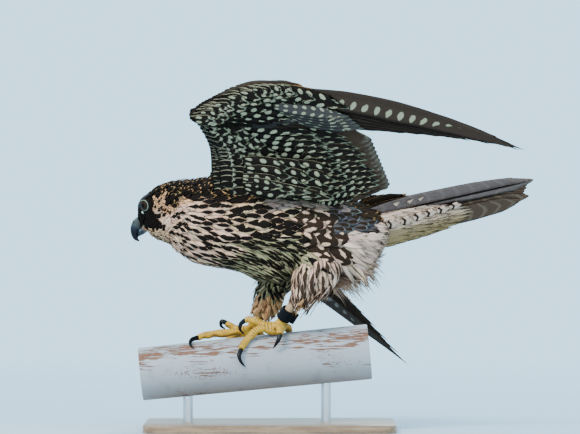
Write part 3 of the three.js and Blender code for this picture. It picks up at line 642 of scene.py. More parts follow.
def turned_ring(outline, centre, axis, outward, sides=56):
    """Turns a closed outline of (radius, height) points round an axis."""
    outline = np.asarray(outline, float)
    axis, outward = unit(axis), unit(outward)
    third = np.cross(outward, axis)
    turn = full_turn(sides)
    spoke = np.cos(turn)[:, None] * outward + np.sin(turn)[:, None] * third
    points = centre + spoke[:, None] * outline[None, :, 0:1] + axis * outline[None, :, 1:2]
    return points.reshape(-1, 3), hoop_faces(sides, len(outline))


def block(centre, axes, sizes):
    """A closed box on three given axes."""
    corners = np.array([(x, y, z) for x in (-1, 1) for y in (-1, 1) for z in (-1, 1)]) * np.array(sizes) / 2
    faces = [(0, 1, 3, 2), (4, 6, 7, 5), (0, 4, 5, 1), (2, 3, 7, 6), (0, 2, 6, 4), (1, 5, 7, 3)]
    return centre + corners @ np.array(axes), faces


# %% Both bands
RIM = 0.3
FLANGE = {"gap": 0.6, "thick": 1.8, "edge": 0.35}
RIB = {"steps": (-0.32, 0.0, 0.32), "out": 2.2, "size": (3.4, 1.1, 2.5), "edge": 0.3}
band_looks = {
    "left": Finish("black_anodised", Base_Color=(0.004, 0.0042, 0.006), Roughness=0.5,
                   Specular_IOR_Level=0.06).material,
    "right": Finish("grey_alloy", Base_Color=(0.42, 0.43, 0.44), Roughness=0.35, Metallic=1.0).material,
}
for side, band in BANDS.items():
    start, end = (np.array(p, float) for p in SHANKS[side])
    axis = unit(start - end)
    outward = unit(np.array((1, 0, 0)) - axis * axis[0])
    centre = start + (end - start) * band["at"]
    inner, outer, half = band["inner"], band["outer"], band["height"] / 2
    ring_outline = [(inner, -half), (outer - RIM, -half), (outer, -half + RIM), (outer, half - RIM),
                    (outer - RIM, half), (inner, half)]
    parts = [closed_piece("ring", *turned_ring(ring_outline, centre, axis, outward), smooth=False)]
    axes = (outward, axis, np.cross(outward, axis))
    if band["flange"]:
        spot = centre + outward * (inner + FLANGE["gap"] + band["flange"] / 2)
        size = (band["flange"], 2 * half, FLANGE["thick"])
        parts.append(closed_piece("flange", *block(spot, axes, size), smooth=False))
        softened(parts[-1], FLANGE["edge"], 2)
        for step in RIB["steps"]:
            spot = centre + outward * (outer + RIB["out"]) + axis * (step * 2 * half)
            parts.append(closed_piece("rib", *block(spot, axes, RIB["size"]), smooth=False))
            softened(parts[-1], RIB["edge"], 2)
    ring = joined(parts, "leg_band_" + side)
    smooth_but_edges(ring)
    dress(ring, band_looks[side], band["slot"], "band_" + side)
print("bands made")

# %% [markdown]
# ## How a wing is laid out
#
# Each wing is drawn flat, as on paper, from its wrist: a runs to the wing tip, b from the front edge to
# the rear one, and the third value is the lift towards the upper side. One function then sets the paper
# wing in space and lets its tip droop. The near wing is raised with its hand folded back, and the far
# wing hangs on the other side, so both share the drawing and differ in their frames.

# %% Wing frames
WING_SPAN = 331
WINGS = {
    "left": {
        "wrist": (-78, -78.5, 317), "along": (0.9944, 0.056, -0.1057),
        "across": (-0.1057, 0.527, -0.9944), "upper": (0, 0.883, 0.468), "droop": 4,
        "lead": ((30, 84), (25, 60), (23, 44), (20, 32), (10, 16), (-1, 3)),
        "rear": ((118, 79), (112, 60), (102, 47), (74, 33), (42, 18), (16, 4)),
        "armpit": -13, "sink": 0, "spots": (0.27, 0.26, 0.165),
        "outer": (181, 9), "inner": (204, 52), "tertials": ((203, 55), (188, 64), (164, 74)),
    },
    "right": {
        "wrist": (-63.5, 76.5, 250), "along": (0.662, 0.604, -0.444),
        "across": (0.73, -0.655, 0.197), "upper": (0.172, 0.454, 0.874), "droop": 43,
        "lead": ((2, 66), (-3, 50), (-6, 36), (-5, 22), (-4, 10), (-2, 3)),
        "rear": ((60, 100), (66, 88), (68, 70), (56, 48), (38, 26), (16, 4)),
        # the far wing's spots are the near wing's pale green-grey darkened by half, painted shade for a wing
        # hanging in shadow
        "armpit": -45, "sink": 50, "spots": (0.14, 0.125, 0.10),
        "outer": (181, 12), "inner": (173, 64), "tertials": ((170, 70), (156, 82), (136, 94)),
    },
}
WING_INSET = 0.04
HAND_MIDDLE = ((7, -1), (16, -9), (30, -16.5), (46, -25), (60, -31), (70, -34))
HAND_LEAD = ((-1.6, 2), (6.5, -8), (17.5, -16), (38.6, -29.6), (60, -36.5), (76, -38))
HAND_REAR = ((15.6, 3.4), (22, -2), (35, -9), (52, -19), (66, -27), (80, -34.5))
SECTION = ((0, 0.3), (0.12, 0.8), (0.35, 1), (0.7, 0.7), (1, 0.25))


def on_wing(wing, a, b, lift):
    a, b, lift = np.broadcast_arrays(np.asarray(a, float), np.asarray(b, float), np.asarray(lift, float))
    level = lift - wing["droop"] * (np.maximum(a, 0) / WING_SPAN) ** 2.5
    steps = ((a, "along"), (b, "across"), (level, "upper"))
    return np.array(wing["wrist"]) + sum(value[..., None] * np.array(wing[key]) for value, key in steps)


def core_level(wing, part, s, t, face):
    """Drawing coordinates on the upper (1) or lower (-1) face of the flesh, t running from the wrist."""
    lead, rear = (wing["lead"][::-1], wing["rear"][::-1]) if part == "arm" else (HAND_LEAD, HAND_REAR)
    front, back = through(lead, at=t), through(rear, at=t)
    place = front + (back - front) * np.asarray(s)[..., None]
    if part == "arm":
        thick, level = 8 + 8 * t, 5.2 - wing["sink"] * t**3
    else:
        thick, level = 10.5 - 4 * t, -6 - 2 * t
    half = np.interp(s, *zip(*SECTION)) * thick / 2
    return place[:, 0], place[:, 1], level + face * half


def wing_form(side, part, rows=26):
    """The flesh of an arm or a hand as a closed slab, a little inside the solid."""
    wing = WINGS[side]
    s = np.array([0, 0.04, 0.12, 0.25, 0.45, 0.7, 0.9, 1])
    s, t = np.meshgrid(s, np.linspace(0, 1, rows))
    s, t = s.ravel(), t.ravel()
    upper = on_wing(wing, *core_level(wing, part, s, t, 1)).reshape(rows, -1, 3)
    lower = on_wing(wing, *core_level(wing, part, s, t, -1)).reshape(rows, -1, 3)
    shell = np.concatenate([upper, lower[:, ::-1]], axis=1)
    shell = shell + (shell.mean(axis=1, keepdims=True) - shell) * WING_INSET
    return closed_piece(part + side, shell.reshape(-1, 3), tube_faces(rows, shell.shape[1]))


print("near wing tip at", on_wing(WINGS["left"], WING_SPAN, -1, -8).round(1))

# %% [markdown]
# ## One skin under all the feathers
#
# A live bird has one skin, with no seam where neck meets breast or thigh meets belly. Lofts of trunk,
# skull, thighs and the flesh of the wings are laid into one another a little inside the CAD solids, by the
# depth of the coat, and a voxel remesh melts them into one closed surface. A smoothing modifier then takes
# off the voxel steps.

# %% Skin
COAT_DEPTH = 3.2
FACE_DEPTH = 1.3
THIGH_DEPTH = 2.0
VOXEL = 1.5


def body_loft(name, stations, count, sides, depth, upward=(0, 0, 1), place=None):
    points = rings(stations, count, sides, -depth, upward).reshape(-1, 3)
    return closed_piece(name, place(points) if place else points, tube_faces(count, sides))


def tree_of(piece):
    mesh = piece.data
    corners = [vertex.co / MM for vertex in mesh.vertices]
    return BVHTree.FromPolygons(corners, [tuple(face.vertices) for face in mesh.polygons])


forms = [
    body_loft("trunk", TRUNK, 48, 48, COAT_DEPTH, upward=BODY_UP),
    body_loft("skull", SKULL, 40, 40, FACE_DEPTH, place=head_place),
    *(body_loft("thigh_" + side, stations, 24, 24, THIGH_DEPTH, upward=(1, 0, 0))
      for side, stations in THIGHS.items()),
    *(wing_form(side, part) for side in WINGS for part in ("arm", "hand")),
]
form_trees = [tree_of(form) for form in forms]
skin = joined(forms, "skin")
melted(skin, VOXEL, 0.5, 6)
skin_tree = tree_of(skin)
print("skin faces:", len(skin.data.polygons))

# %% [markdown]
# ## What grows where
#
# Plumage changes smoothly over a body. A tract is an area where one kind of feather grows. The table
# says what each tract's feathers look like and measure. One function then answers, for any point of the
# skin, which tracts own it, and others which way the feathers lie and how loose they hang. Both the skin
# and the feathers ask them, so that a gap between two feathers never shows a wrong colour.

# %% The tracts
REGION = {"trunk": 0, "head": 1, "thigh_left": 2, "thigh_right": 3, "wing": 4}
TRAITS = ("ground", "mark", "edge", "habit", "size")
# habit: streak, bars / BAR_SCALE, fringe, reach of the bars
# size: length, width, spacing, height of the tip, how far the tip narrows
GROWTH = {
    "breast": (PINK_CREAM, NEAR_BLACK, CREAM, (0.44, 0, 0, 0), (22, 11.5, 6.4, 2.0, 0)),
    # the belly's olive-cream ground is painted shade on the underside; its smaller feathers and streaks are
    # its own
    "belly": (SHADED_OLIVE_CREAM, NEAR_BLACK, CREAM, (0.52, 0, 0, 0), (24, 8.4, 4.7, 2.4, 0.2)),
    "side": (CREAM, NEAR_BLACK, PINK_CREAM, (0.58, 0, 0, 0), (23, 13, 7.2, 2.4, 0)),
    "flank": (DARK_BROWN, PINK_CREAM, PINK_CREAM, (0, 0.035, 0.09, 0.95), (30, 19, 10.6, 2.8, 0)),
    "strip": (GREY_BROWN, DARK_BROWN, GREY_BROWN, (0.05, 0, 0, 0), (20, 8, 5.0, 2.0, 0.4)),
    "smoke": (SLATE, DARK_BROWN, (0.30, 0.27, 0.265), (0.35, 0, 0.12, 0), (20, 12, 6.4, 3.2, 0.2)),
    "shoulder": (NEAR_BLACK, NEAR_BLACK, BUFF, (0, 0, 0.13, 0), (22, 7.0, 5.0, 2.2, 0)),
    "vent": (WHITE_BUFF, MID_BROWN, WHITE_BUFF, (0, 0, 0, 0), (32, 6.0, 3.4, 4.0, 0.9)),
    "back": (DARK_BROWN, NEAR_BLACK, BUFF, (0.08, 0, 0.08, 0), (17, 13, 5.2, 1.8, 0)),
    "rump": (DARK_BROWN, NEAR_BLACK, BUFF, (0.1, 0, 0.1, 0), (24, 15, 7.4, 2.4, 0)),
    "thigh": (PINK_CREAM, (0.05, 0.028, 0.018), WHITE_BUFF, (0.46, 0, 0, 0), (18, 10, 6.2, 3.6, 0.25)),
    "shin": (BUFF, MID_BROWN, WHITE_BUFF, (0.12, 0, 0, 0), (20, 6.0, 3.4, 3.6, 0.7)),
    "crown": (NEAR_BLACK, NEAR_BLACK, BUFF, (0, 0, 0.035, 0), (5.8, 3.6, 1.75, 1.5, 0)),
    "nape": (NEAR_BLACK, NEAR_BLACK, BUFF, (0, 0, 0.16, 0), (9.5, 5.6, 3.0, 3.2, 0)),
    "cheek": (RUSTY, NEAR_BLACK, PINK_CREAM, (0.26, 0, 0, 0), (5.2, 3.3, 1.75, 0.8, 0)),
    "moustache": (NEAR_BLACK, NEAR_BLACK, DARK_BROWN, (0, 0, 0.04, 0), (5.0, 3.2, 1.6, 0.8, 0)),
    "throat": (CREAM, DARK_BROWN, PINK_CREAM, (0.10, 0, 0, 0), (9.0, 4.6, 2.3, 2.4, 0.2)),
    "collar": (PINK_CREAM, NEAR_BLACK, CREAM, (0.30, 0, 0, 0), (12, 7.5, 4.0, 1.5, 0)),
    "wing": (NEAR_BLACK, PALE_GREEN_GREY, DARK_BROWN, (0.0, 0.1, 0, 0.8), (14, 10, 5, 1.5, 0)),
}
print("tracts:", ", ".join(GROWTH))


# %% Which tract a point belongs to
def ramp(value, low, high):
    """0 below low, 1 above high, a smooth rise between."""
    share = np.clip((value - low) / (high - low), 0, 1)
    return share * share * (3 - 2 * share)


EYE_AT = np.array((-1.3, 15.4, 0.6))


def on_body(region):
    return region < REGION["thigh_left"]


def face_share(points, region):
    return ramp(-points[:, 0], 94, 106) * on_body(region)


def from_eye(hx, hz):
    return np.hypot(hx - EYE_AT[0], hz - EYE_AT[2])


def tract_shares(points, normals, region):
    """The share of each tract in each point. Every tract in turn takes its share of what is left.

    x, y and z are the frame's, level is the height square to the back and hx, hy, hz are the head's
    own. The wobble keeps the borders between tracts from being straight."""
    x, y, z = points.T
    hx, hy, hz = head_coordinates(points).T
    upness = normals @ BODY_UP
    wobble = 0.5 + 0.5 * np.sin(x * 0.9 + y * 0.7) * np.sin(z * 0.8 - y * 0.5)
    level = points @ BODY_UP + 1.5 * (wobble - 0.5)
    face, body = face_share(points, region), on_body(region)
    near_leg, far_leg = region == REGION["thigh_left"], region == REGION["thigh_right"]
    shares = {name: np.zeros(len(points)) for name in GROWTH}
    left = np.ones(len(points))

    def take(name, share):
        shares[name] += left * share
        left[:] = left * (1 - share)

    # wings and legs
    take("wing", (region >= REGION["wing"]).astype(float))
    take("vent", near_leg * ramp(normals[:, 0], 0.5, 0.85) * ramp(z, 144, 152))
    take("thigh", near_leg * ramp(z + 4 * (wobble - 0.5), 131, 139))
    # the far thigh takes the belly's darker ground: painted shade on the leg behind
    take("belly", far_leg * ramp(z + 6 * (wobble - 0.5), 136, 144))
    take("shin", (near_leg | far_leg).astype(float))
    # the head: a dark cap, eye ring and moustache, a dark nape, a pale cheek, throat and collar
    take("crown", face * ramp(hz, 2.0, 6.5) * ramp(hx, -12, -5))
    take("moustache", face * ramp(-from_eye(hx, hz), -9.4, -8))
    take("moustache", face * ramp(hz, -11, -8) * ramp(hx, -4, 0))
    take("nape", ramp(level, 203.5, 209.5) * ramp(-x, 60, 72) * body)
    take("nape", ramp(-x, 95, 98) * ramp(x, -107, -104) * ramp(level, 196, 199) * body)
    rear_edge = -2.0 - 0.12 * (hz + 9)
    front_edge = 20 - 17 * np.clip((-12 - hz) / 20, 0, 1.2) ** 1.1
    take("moustache", face * ramp(hx - rear_edge, -1.2, 0.8) * ramp(front_edge - hx, -1.2, 0.8)
         * ramp(hz, -34, -30) * ramp(-hz, 2, 5) * ramp(np.abs(hy), 4.5, 7))
    take("cheek", ramp(-x, 86, 96) * ramp(-hx, 4.5, 6.5) * ramp(hz, -26, -20) * ramp(np.abs(hy), 6, 9)
         * body)
    take("throat", face * ramp(hx + 0.3 * hz, -8, -2) * ramp(-hz, 6, 9))
    take("collar", ramp(-x, 82, 93) * body)
    # shoulder, rump and back, and a grey strip below the raised wing
    take("shoulder", ramp(-x, 24, 34) * ramp(z + 5 * (wobble - 0.5), 226, 231) * (y < 0))
    take("rump", ramp(x, 74, 84) * np.maximum(ramp(upness, 0.0, 0.25), ramp(z, 207, 212)))
    take("back", ramp(upness, 0.42, 0.6))
    take("strip", ramp(z + 4 * (wobble - 0.5), 219, 225) * ramp(x, -30, -5) * (y < 0))
    # the rear: smoky feathers beside the rump, white ones below
    behind = x + 0.6 * np.maximum(z - 180, 0) + np.maximum(180 - z, 0) + 5 * (wobble - 0.5)
    take("smoke", ramp(behind, 64, 70) * ramp(z, 197, 201) * ramp(-x, -102, -95))
    beneath = np.maximum(ramp(x, 26, 38) * ramp(-normals[:, 2], 0.3, 0.6),
                         ramp(x, 36, 46) * ramp(-level, -148, -142))
    take("vent", np.maximum(ramp(behind, 70, 76), beneath))
    # flank, side and belly; the breast has what is left
    take("flank", ramp(x + 0.4 * (z - 200) + 6 * (wobble - 0.5), 10, 20) * ramp(level, 146, 153))
    take("side", ramp(x, -66, -40) * ramp(level, 160, 170))
    # downward-facing parts of the trunk take the belly's darker ground as painted shade
    take("belly", ramp(x + 0.6 * (190 - z), -62, -30) * ramp(-upness, 0.1, 0.6))
    shares["breast"] += left
    return shares


# %% How the feathers lie and hang
HEAD_BACK = head_place((-1, 0, 0)) - head_place((0, 0, 0))


def feather_lie(points, normals, region):
    """The way that feathers point: along the body, back over the face, down the thighs."""
    x, y, z = points.T
    upness = normals @ BODY_UP
    lie = np.zeros((len(points), 3)) + np.array((1.0, 0, 0))
    sag = ramp(x, 5, 60) * ramp(-upness, 0.0, 0.6)
    lie[:, 2] -= 0.7 * sag
    lie[:, 2] -= 0.3 * ramp(-x, 20, 80) * ramp(-upness, -0.2, 0.5)
    to_far_leg = ramp(x, -50, -12) * ramp(-x, -45, -15) * ramp(-z, -196, -172)
    lie[:, 2] -= 1.1 * to_far_leg * on_body(region)
    face = face_share(points, region)[:, None]
    lie = lie * (1 - face) + HEAD_BACK * face
    for side, stations in THIGHS.items():
        down = unit(np.array(stations[-1][0]) - np.array(stations[0][0]))
        on_thigh = (region == REGION["thigh_" + side])[:, None]
        lie = np.where(on_thigh, down + np.array((0.25, 0, -0.15)), lie)
    lie[:, 0] += 0.7 * (region == REGION["thigh_left"]) * ramp(normals[:, 0], -0.3, 0.5)
    lie -= normals * np.sum(lie * normals, axis=1, keepdims=True)
    return unit(lie)


def loosen(size, points, normals, region, thigh_share):
    """Changes the sizes where plumage is fuller or looser, and gives how far the tips droop."""
    x, y, z = points.T
    trunk, near_leg, far_leg = (region == REGION[name] for name in ("trunk", "thigh_left", "thigh_right"))
    hanging = ramp(x, 26, 44) * trunk * ramp(-normals[:, 2], 0.0, 0.75)
    fill = 1.25 * ramp(x, -46, -28) * ramp(-x, -6, 8) * ramp(-z, -172, -160) * trunk
    fill += ramp(-normals[:, 0], -0.2, 0.5) * ramp(z, 140, 150) * far_leg
    fill += 1.2 * ramp(normals[:, 0], 0.0, 0.5) * ramp(-z, -142, -128) * far_leg
    size[:, 3] += 4.8 * np.clip(fill, 0, 1.25)
    fringe = near_leg * ramp(-z, -170, -152) * ramp(normals[:, 0], 0.0, 0.6)
    size[:, 0] += 9 * hanging + 15 * fringe - 7 * far_leg
    size[:, :2] *= 1 - 0.55 * ramp(x, 90, 108)[:, None]
    return 30 * hanging * ramp(-x, -98, -74) + 3 * thigh_share + 10 * fringe


# %% The plumage map
def plumage(points, normals, region, draw=None):
    """The traits of the feathers that grow at the given points. Sizes are blended between tracts; colours
    and marks too, unless a random draw for each point picks one tract for it."""
    shares = tract_shares(points, normals, region)
    blend = np.stack([shares[name] for name in GROWTH], axis=1)
    picked = blend
    if draw is not None:
        first = (blend.cumsum(axis=1) < draw[:, None] * 0.999).sum(axis=1)
        picked = np.eye(len(GROWTH))[np.minimum(first, len(GROWTH) - 1)]
    result = {"tract": picked.argmax(axis=1), "lie": feather_lie(points, normals, region)}
    for k, trait in enumerate(TRAITS):
        table = np.array([GROWTH[name][k] for name in GROWTH])
        result[trait] = (blend if trait == "size" else picked) @ table
    result["drop"] = loosen(result["size"], points, normals, region, shares["thigh"])
    return result


THIGH_TOP = 176
TRUNK_SET_BACK = 0.4


def region_of(points):
    """Which form each point of the skin lies on, as a number of REGION."""
    distances = np.array([[tree.find_nearest(Vector(p))[3] for tree in form_trees] for p in points])
    distances[:, REGION["trunk"]] += TRUNK_SET_BACK
    region = distances.argmin(axis=1)
    on_thigh = (region == REGION["thigh_left"]) | (region == REGION["thigh_right"])
    region = np.where(on_thigh & (points[:, 2] > THIGH_TOP), REGION["trunk"], region)
    return np.minimum(region, REGION["wing"])


# %% Painting the skin
# the skin shows only in the gaps between feathers, so its ground is the plumage's, darkened to four fifths as
# painted shade
SKIN_SHADE = 0.8
skin_points, skin_normals = vertex_arrays(skin)
skin_region = region_of(skin_points)
skin_traits = plumage(skin_points, skin_normals, skin_region)
paint(skin, "ground", opaque(skin_traits["ground"] * SKIN_SHADE))
paint(skin, "mark", opaque(skin_traits["mark"]))
paint(skin, "cover", np.clip(skin_traits["habit"][:, 0] * 1.1, 0, 1), "FLOAT")
dress(skin, down, "breast_feather", "torso", "neck", "head", "thigh_left", "thigh_right")
print("skin painted, vertices by region:", np.bincount(skin_region))

# %% [markdown]
# ## Feathers as thin closed vanes
#
# A feather here is a small grid, a few points long and wide, curved like a shallow roof tile, with a
# second grid a hair below that shares its rim, so that the vane is a closed lens. Thousands of them make
# one mesh. They are worked out as whole arrays, and the mesh is filled in one step. Each vane keeps two
# maps: its own (across and along), which the finish draws on, and a bake map, where the whole vane is a
# small patch at its root's place on the unwrapped body.

# %% Faces of one vane
BAKE_PATCH = 0.003


def vane_faces(rows, columns):
    """The quads of one vane, upper face first; the two faces share their rim."""
    top = np.arange(rows * columns).reshape(rows, columns)
    bottom = top.copy()
    inner = (rows - 2) * (columns - 2)
    bottom[1:-1, 1:-1] = rows * columns + np.arange(inner).reshape(rows - 2, columns - 2)
    above, below = (
        np.stack([face[:-1, :-1], face[1:, :-1], face[1:, 1:], face[:-1, 1:]], axis=-1).reshape(-1, 4)
        for face in (top, bottom)
    )
    return np.vstack([above, below[:, ::-1]])


print("faces of a 6 by 5 vane:", len(vane_faces(6, 5)))


# %% Collecting vanes into a mesh
class Plumes:
    """Gathers vanes, all their points and what they carry, until they are made one piece."""

    def __init__(self):
        self.points, self.faces, self.vane, self.bake = [], [], [], []
        self.layers = {name: [] for name in ("ground", "mark", "edge", "habit")}
        self.count = 0

    def add(self, top, thick, upward, bake, ground, mark, edge, habit, across=None, along=None):
        """top: count × rows × columns × 3. thick: how far the lower face lies under the upper one."""
        number, rows, columns = top.shape[:3]
        faces = vane_faces(rows, columns)
        v = np.linspace(0, 1, rows) if along is None else along
        s = np.linspace(-1, 1, columns) if across is None else across
        middle = 1 - 0.6 * np.abs(s[1:-1])
        lower = top[:, 1:-1, 1:-1] - upward[:, 1:-1, 1:-1] * (thick * middle)[None, None, :, None]
        points = np.concatenate([top.reshape(number, -1, 3), lower.reshape(number, -1, 3)], axis=1)
        flat_s, flat_v = np.meshgrid(s, v)
        places = np.stack([(flat_s + 1) / 2, flat_v], axis=-1)
        places = np.vstack([places.reshape(-1, 2), places[1:-1, 1:-1].reshape(-1, 2)])
        each = points.shape[1]
        outward = np.cross(top[:, 1, 0] - top[:, 0, 0], top[:, 1, -1] - top[:, 1, 0])
        wrong = np.sum(outward * upward[:, 1, 1], axis=1) < 0
        corners = faces[None].repeat(number, axis=0)
        corners[wrong] = corners[wrong][:, :, ::-1]
        which = np.arange(number)[:, None, None]
        spread = (places[None] - 0.5) * BAKE_PATCH + np.asarray(bake)[:, None]
        self.points.append(points.reshape(-1, 3))
        self.faces.append((corners + which * each + self.count).reshape(-1, 4))
        self.vane.append(places[corners].reshape(-1, 2))
        self.bake.append(spread[which, corners].reshape(-1, 2))
        for name, values in zip(self.layers, (ground, mark, edge, habit)):
            values = np.asarray(values, float)
            if values.ndim < 3:
                values = np.broadcast_to(values, (number, values.shape[-1]))[:, None].repeat(each, axis=1)
            values = values.reshape(number * each, -1)
            self.layers[name].append(values if values.shape[1] == 4 else opaque(values))
        self.count += number * each

    def piece(self, name):
        mesh = bpy.data.meshes.new(name)
        points = np.concatenate(self.points) * MM
        faces = np.concatenate(self.faces)
        mesh.vertices.add(len(points))
        mesh.vertices.foreach_set("co", points.ravel())
        mesh.loops.add(faces.size)
        mesh.loops.foreach_set("vertex_index", faces.ravel())
        mesh.polygons.add(len(faces))
        mesh.polygons.foreach_set("loop_start", np.arange(len(faces)) * 4)
        for layer, values in (("vane", self.vane), ("OFBake", self.bake)):
            mesh.uv_layers.new(name=layer).data.foreach_set("uv", np.concatenate(values).ravel())
        mesh.update(calc_edges=True)
        mesh.shade_smooth()
        result = bpy.data.objects.new(name, mesh)
        bpy.context.scene.collection.objects.link(result)
        for layer, values in self.layers.items():
            paint(result, layer, np.concatenate(values))
        print(name, "has", 2 * len(faces), "triangles")
        return result


# %% [markdown]
# ## Laying the body feathers
#
# Real feathers stand in even rows, at a distance that suits their size. Random darts that keep such a
# distance give the same even cover with no seams: a dart is kept only if no earlier one is too near. Each
# feather then leaves the skin at its root, lies along the body and ends a little above the skin further
# back, where a nearest-point search finds the surface again, so it follows every curve.

# %% Darts that keep their distance
DART_CELL = 2.5


def darts(points, triangles, spacing, tries):
    """Picks points on triangles, more where spacing is small, and keeps those that stand well apart."""
    a, b, c = (points[triangles[:, k]] for k in range(3))
    area = np.linalg.norm(np.cross(b - a, c - a), axis=1) / 2
    gap = spacing[triangles].mean(axis=1)
    weight = area / gap**2
    chosen = rng.choice(len(triangles), tries, p=weight / weight.sum())
    r1, r2 = np.sqrt(rng.random(tries)), rng.random(tries)
    parts = ((1 - r1, a), (r1 * (1 - r2), b), (r1 * r2, c))
    spots = sum(share[:, None] * corner[chosen] for share, corner in parts)
    cells, kept = {}, []
    for i, (spot, own) in enumerate(zip(spots.tolist(), gap[chosen].tolist())):
        x, y, z = (int(math.floor(value / DART_CELL)) for value in spot)
        reach = int(math.ceil(own / DART_CELL))
        near = (
            other
            for dx in range(-reach, reach + 1) for dy in range(-reach, reach + 1)
            for dz in range(-reach, reach + 1) for other in cells.get((x + dx, y + dy, z + dz), ())
        )
        if all((spot[0] - o[0]) ** 2 + (spot[1] - o[1]) ** 2 + (spot[2] - o[2]) ** 2 > own * own
               for o in near):
            cells.setdefault((x, y, z), []).append(spot)
            kept.append(i)
    return spots[kept]


# %% Roots
DARTS_THROWN = 60000
CLOSER = 0.86
EYE_OPENING = 5.8
BILL_BASE = 20.5
GAPE = {"from": 10, "height": -8.2, "half": 1.4}
skin.data.calc_loop_triangles()
skin_triangles = np.array([triangle.vertices for triangle in skin.data.loop_triangles])
roots = darts(skin_points, skin_triangles, skin_traits["size"][:, 2] * CLOSER, DARTS_THROWN)
root_normals = unit(np.array([skin_tree.find_nearest(Vector(p))[1] for p in roots]))
root_region = region_of(roots)
hx, hy, hz = head_coordinates(roots).T
on_head = root_region == REGION["head"]
bare = (from_eye(hx, hz) < EYE_OPENING) & (np.abs(hy) > 9)
bare |= (hx > BILL_BASE) & on_head
bare |= root_region >= REGION["wing"]
bare |= (hx > GAPE["from"]) & (np.abs(hz - GAPE["height"]) < GAPE["half"]) & on_head
roots, root_normals, root_region = roots[~bare], root_normals[~bare], root_region[~bare]
print(len(roots), "feathers on the body")

# %% Laying vanes over the skin
FEATHER_OUTLINE = ((0, 0.3), (0.22, 0.75), (0.5, 1.0), (0.78, 0.92), (1, 0.5))
BODY_VANE_THICK = 0.25
ROOT_DEPTH = 0.7
# tract: which part of the habit varies, the share of marked feathers, their value and the others'
CHANCES = {
    "nape": (2, 0.5, (0.192, 0.016)),
    "cheek": (0, 0.3, (0.75, 0.1)),
    "collar": (0, 0.5, (0.55, 0.05)),
}


def own_marks(traits, narrow):
    """Ground and edge colours and habits that differ a little from feather to feather."""
    number = len(narrow)
    spread = (0.07 + 0.09 * narrow)[:, None]
    tint = 1 + rng.normal(0, 1, (number, 1)) * spread + rng.normal(0, 0.035, (number, 3))
    habit = traits["habit"].copy()
    habit[:, 0] *= rng.uniform(0.7, 1.25, number)
    tract = np.array(list(GROWTH))[traits["tract"]]
    chance = rng.random(number)
    for name, (part, share, (often, seldom)) in CHANCES.items():
        value = np.where(chance < share, often, seldom)
        habit[:, part] = np.where(tract == name, value, habit[:, part])
    return np.clip(traits["ground"] * tint, 0, 1), np.clip(traits["edge"] * tint, 0, 1), habit


def lay(points, normals, region, rows, columns, plumes, bake):
    """Adds one vane for each root, lying over the skin."""
    number = len(points)
    traits = plumage(points, normals, region, draw=rng.random(number))
    length, width, gap, height, narrow = traits["size"].T
    length = length * rng.uniform(0.88, 1.12, number)
    width = width * rng.uniform(0.9, 1.1, number)
    height = height * rng.uniform(0.7, 1.25, number)
    sideways = np.cross(normals, traits["lie"])
    turn = (rng.normal(0, 1, number) * (0.08 + 0.15 * narrow))[:, None]
    lie = unit(traits["lie"] * np.cos(turn) + sideways * np.sin(turn))

    def over_skin(share, level):
        found = [skin_tree.find_nearest(Vector(p)) for p in points + lie * (length * share)[:, None]]
        ground = np.array([hit[0] for hit in found])
        normal = unit(np.array([hit[1] for hit in found]))
        return ground + normal * level[:, None], normal

    start = points - normals * ROOT_DEPTH
    half = over_skin(0.5, height * 0.75)[0]
    end, end_up = over_skin(1.0, height)
    end[:, 2] -= traits["drop"] * rng.uniform(0.5, 1.2, number)
    half[:, 2] -= traits["drop"] * 0.28
    bend = 2 * half - (start + end) / 2
    v = np.linspace(0, 1, rows)
    s = np.linspace(-1, 1, columns)
    outline = np.interp(v, *zip(*FEATHER_OUTLINE))[None] * (1 - narrow[:, None] * ramp(v, 0.35, 1.05)[None])
    ragged = rng.normal(0, 0.035, (number, rows, columns)) * ramp(v, 0.5, 1.0)[None, :, None]
    vv = v[None, :, None] * (1 - 0.20 * s[None, None, :] ** 2 * v[None, :, None]) + ragged
    vv = vv[..., None]
    spine = (1 - vv) ** 2 * start[:, None, None] + 2 * vv * (1 - vv) * bend[:, None, None]
    spine = spine + vv**2 * end[:, None, None]
    up = unit(normals[:, None, None] * (1 - vv) + end_up[:, None, None] * vv)
    side = unit(np.cross(up, (end - start)[:, None, None]))
    offset = s[None, None, :, None] * outline[:, :, None, None] * (width / 2)[:, None, None, None]
    sag = (s**2)[None, None, :, None] * outline[:, :, None, None] * (width * 0.13)[:, None, None, None]
    grid = spine + side * offset - up * sag
    ground, edge, habit = own_marks(traits, narrow)
    plumes.add(grid, BODY_VANE_THICK, up, bake, ground, traits["mark"], edge, habit)


# %% Bake maps of trunk and thighs
TRUNK_AXIS_Z = 208
TRUNK_ENDS = (-150, 130)


def inside_map(share):
    """Keeps a share of 0 to 1 a little inside the edges of the map."""
    return 0.03 + 0.94 * share


def wrap_map(points):
    """An unwrap of the trunk: round it, and from bill to tail."""
    y, z = points[:, 1], points[:, 2] - TRUNK_AXIS_Z
    turn = np.arctan2(y * math.cos(BODY_ROLL) - z * math.sin(BODY_ROLL),
                      z * math.cos(BODY_ROLL) + y * math.sin(BODY_ROLL))
    front, back = TRUNK_ENDS
    return np.stack([inside_map(turn / (2 * math.pi) + 0.5),
                     inside_map((points[:, 0] - front) / (back - front))], axis=1)


def thigh_map(points, side):
    """An unwrap of a thigh: round it, and from hip to shank."""
    stations = THIGHS[side]
    start, end = np.array(stations[0][0], float), np.array(stations[-1][0], float)
    axis = unit(end - start)
    along = (points - start) @ axis / np.linalg.norm(end - start)
    out = points - start - ((points - start) @ axis)[:, None] * axis
    turn = np.arctan2(out[:, 1], out @ np.cross(axis, (0, 1, 0)))
    return np.stack([inside_map(turn / (2 * math.pi) + 0.5), 0.05 + 0.8 * np.clip(along, 0, 1.1)], axis=1)


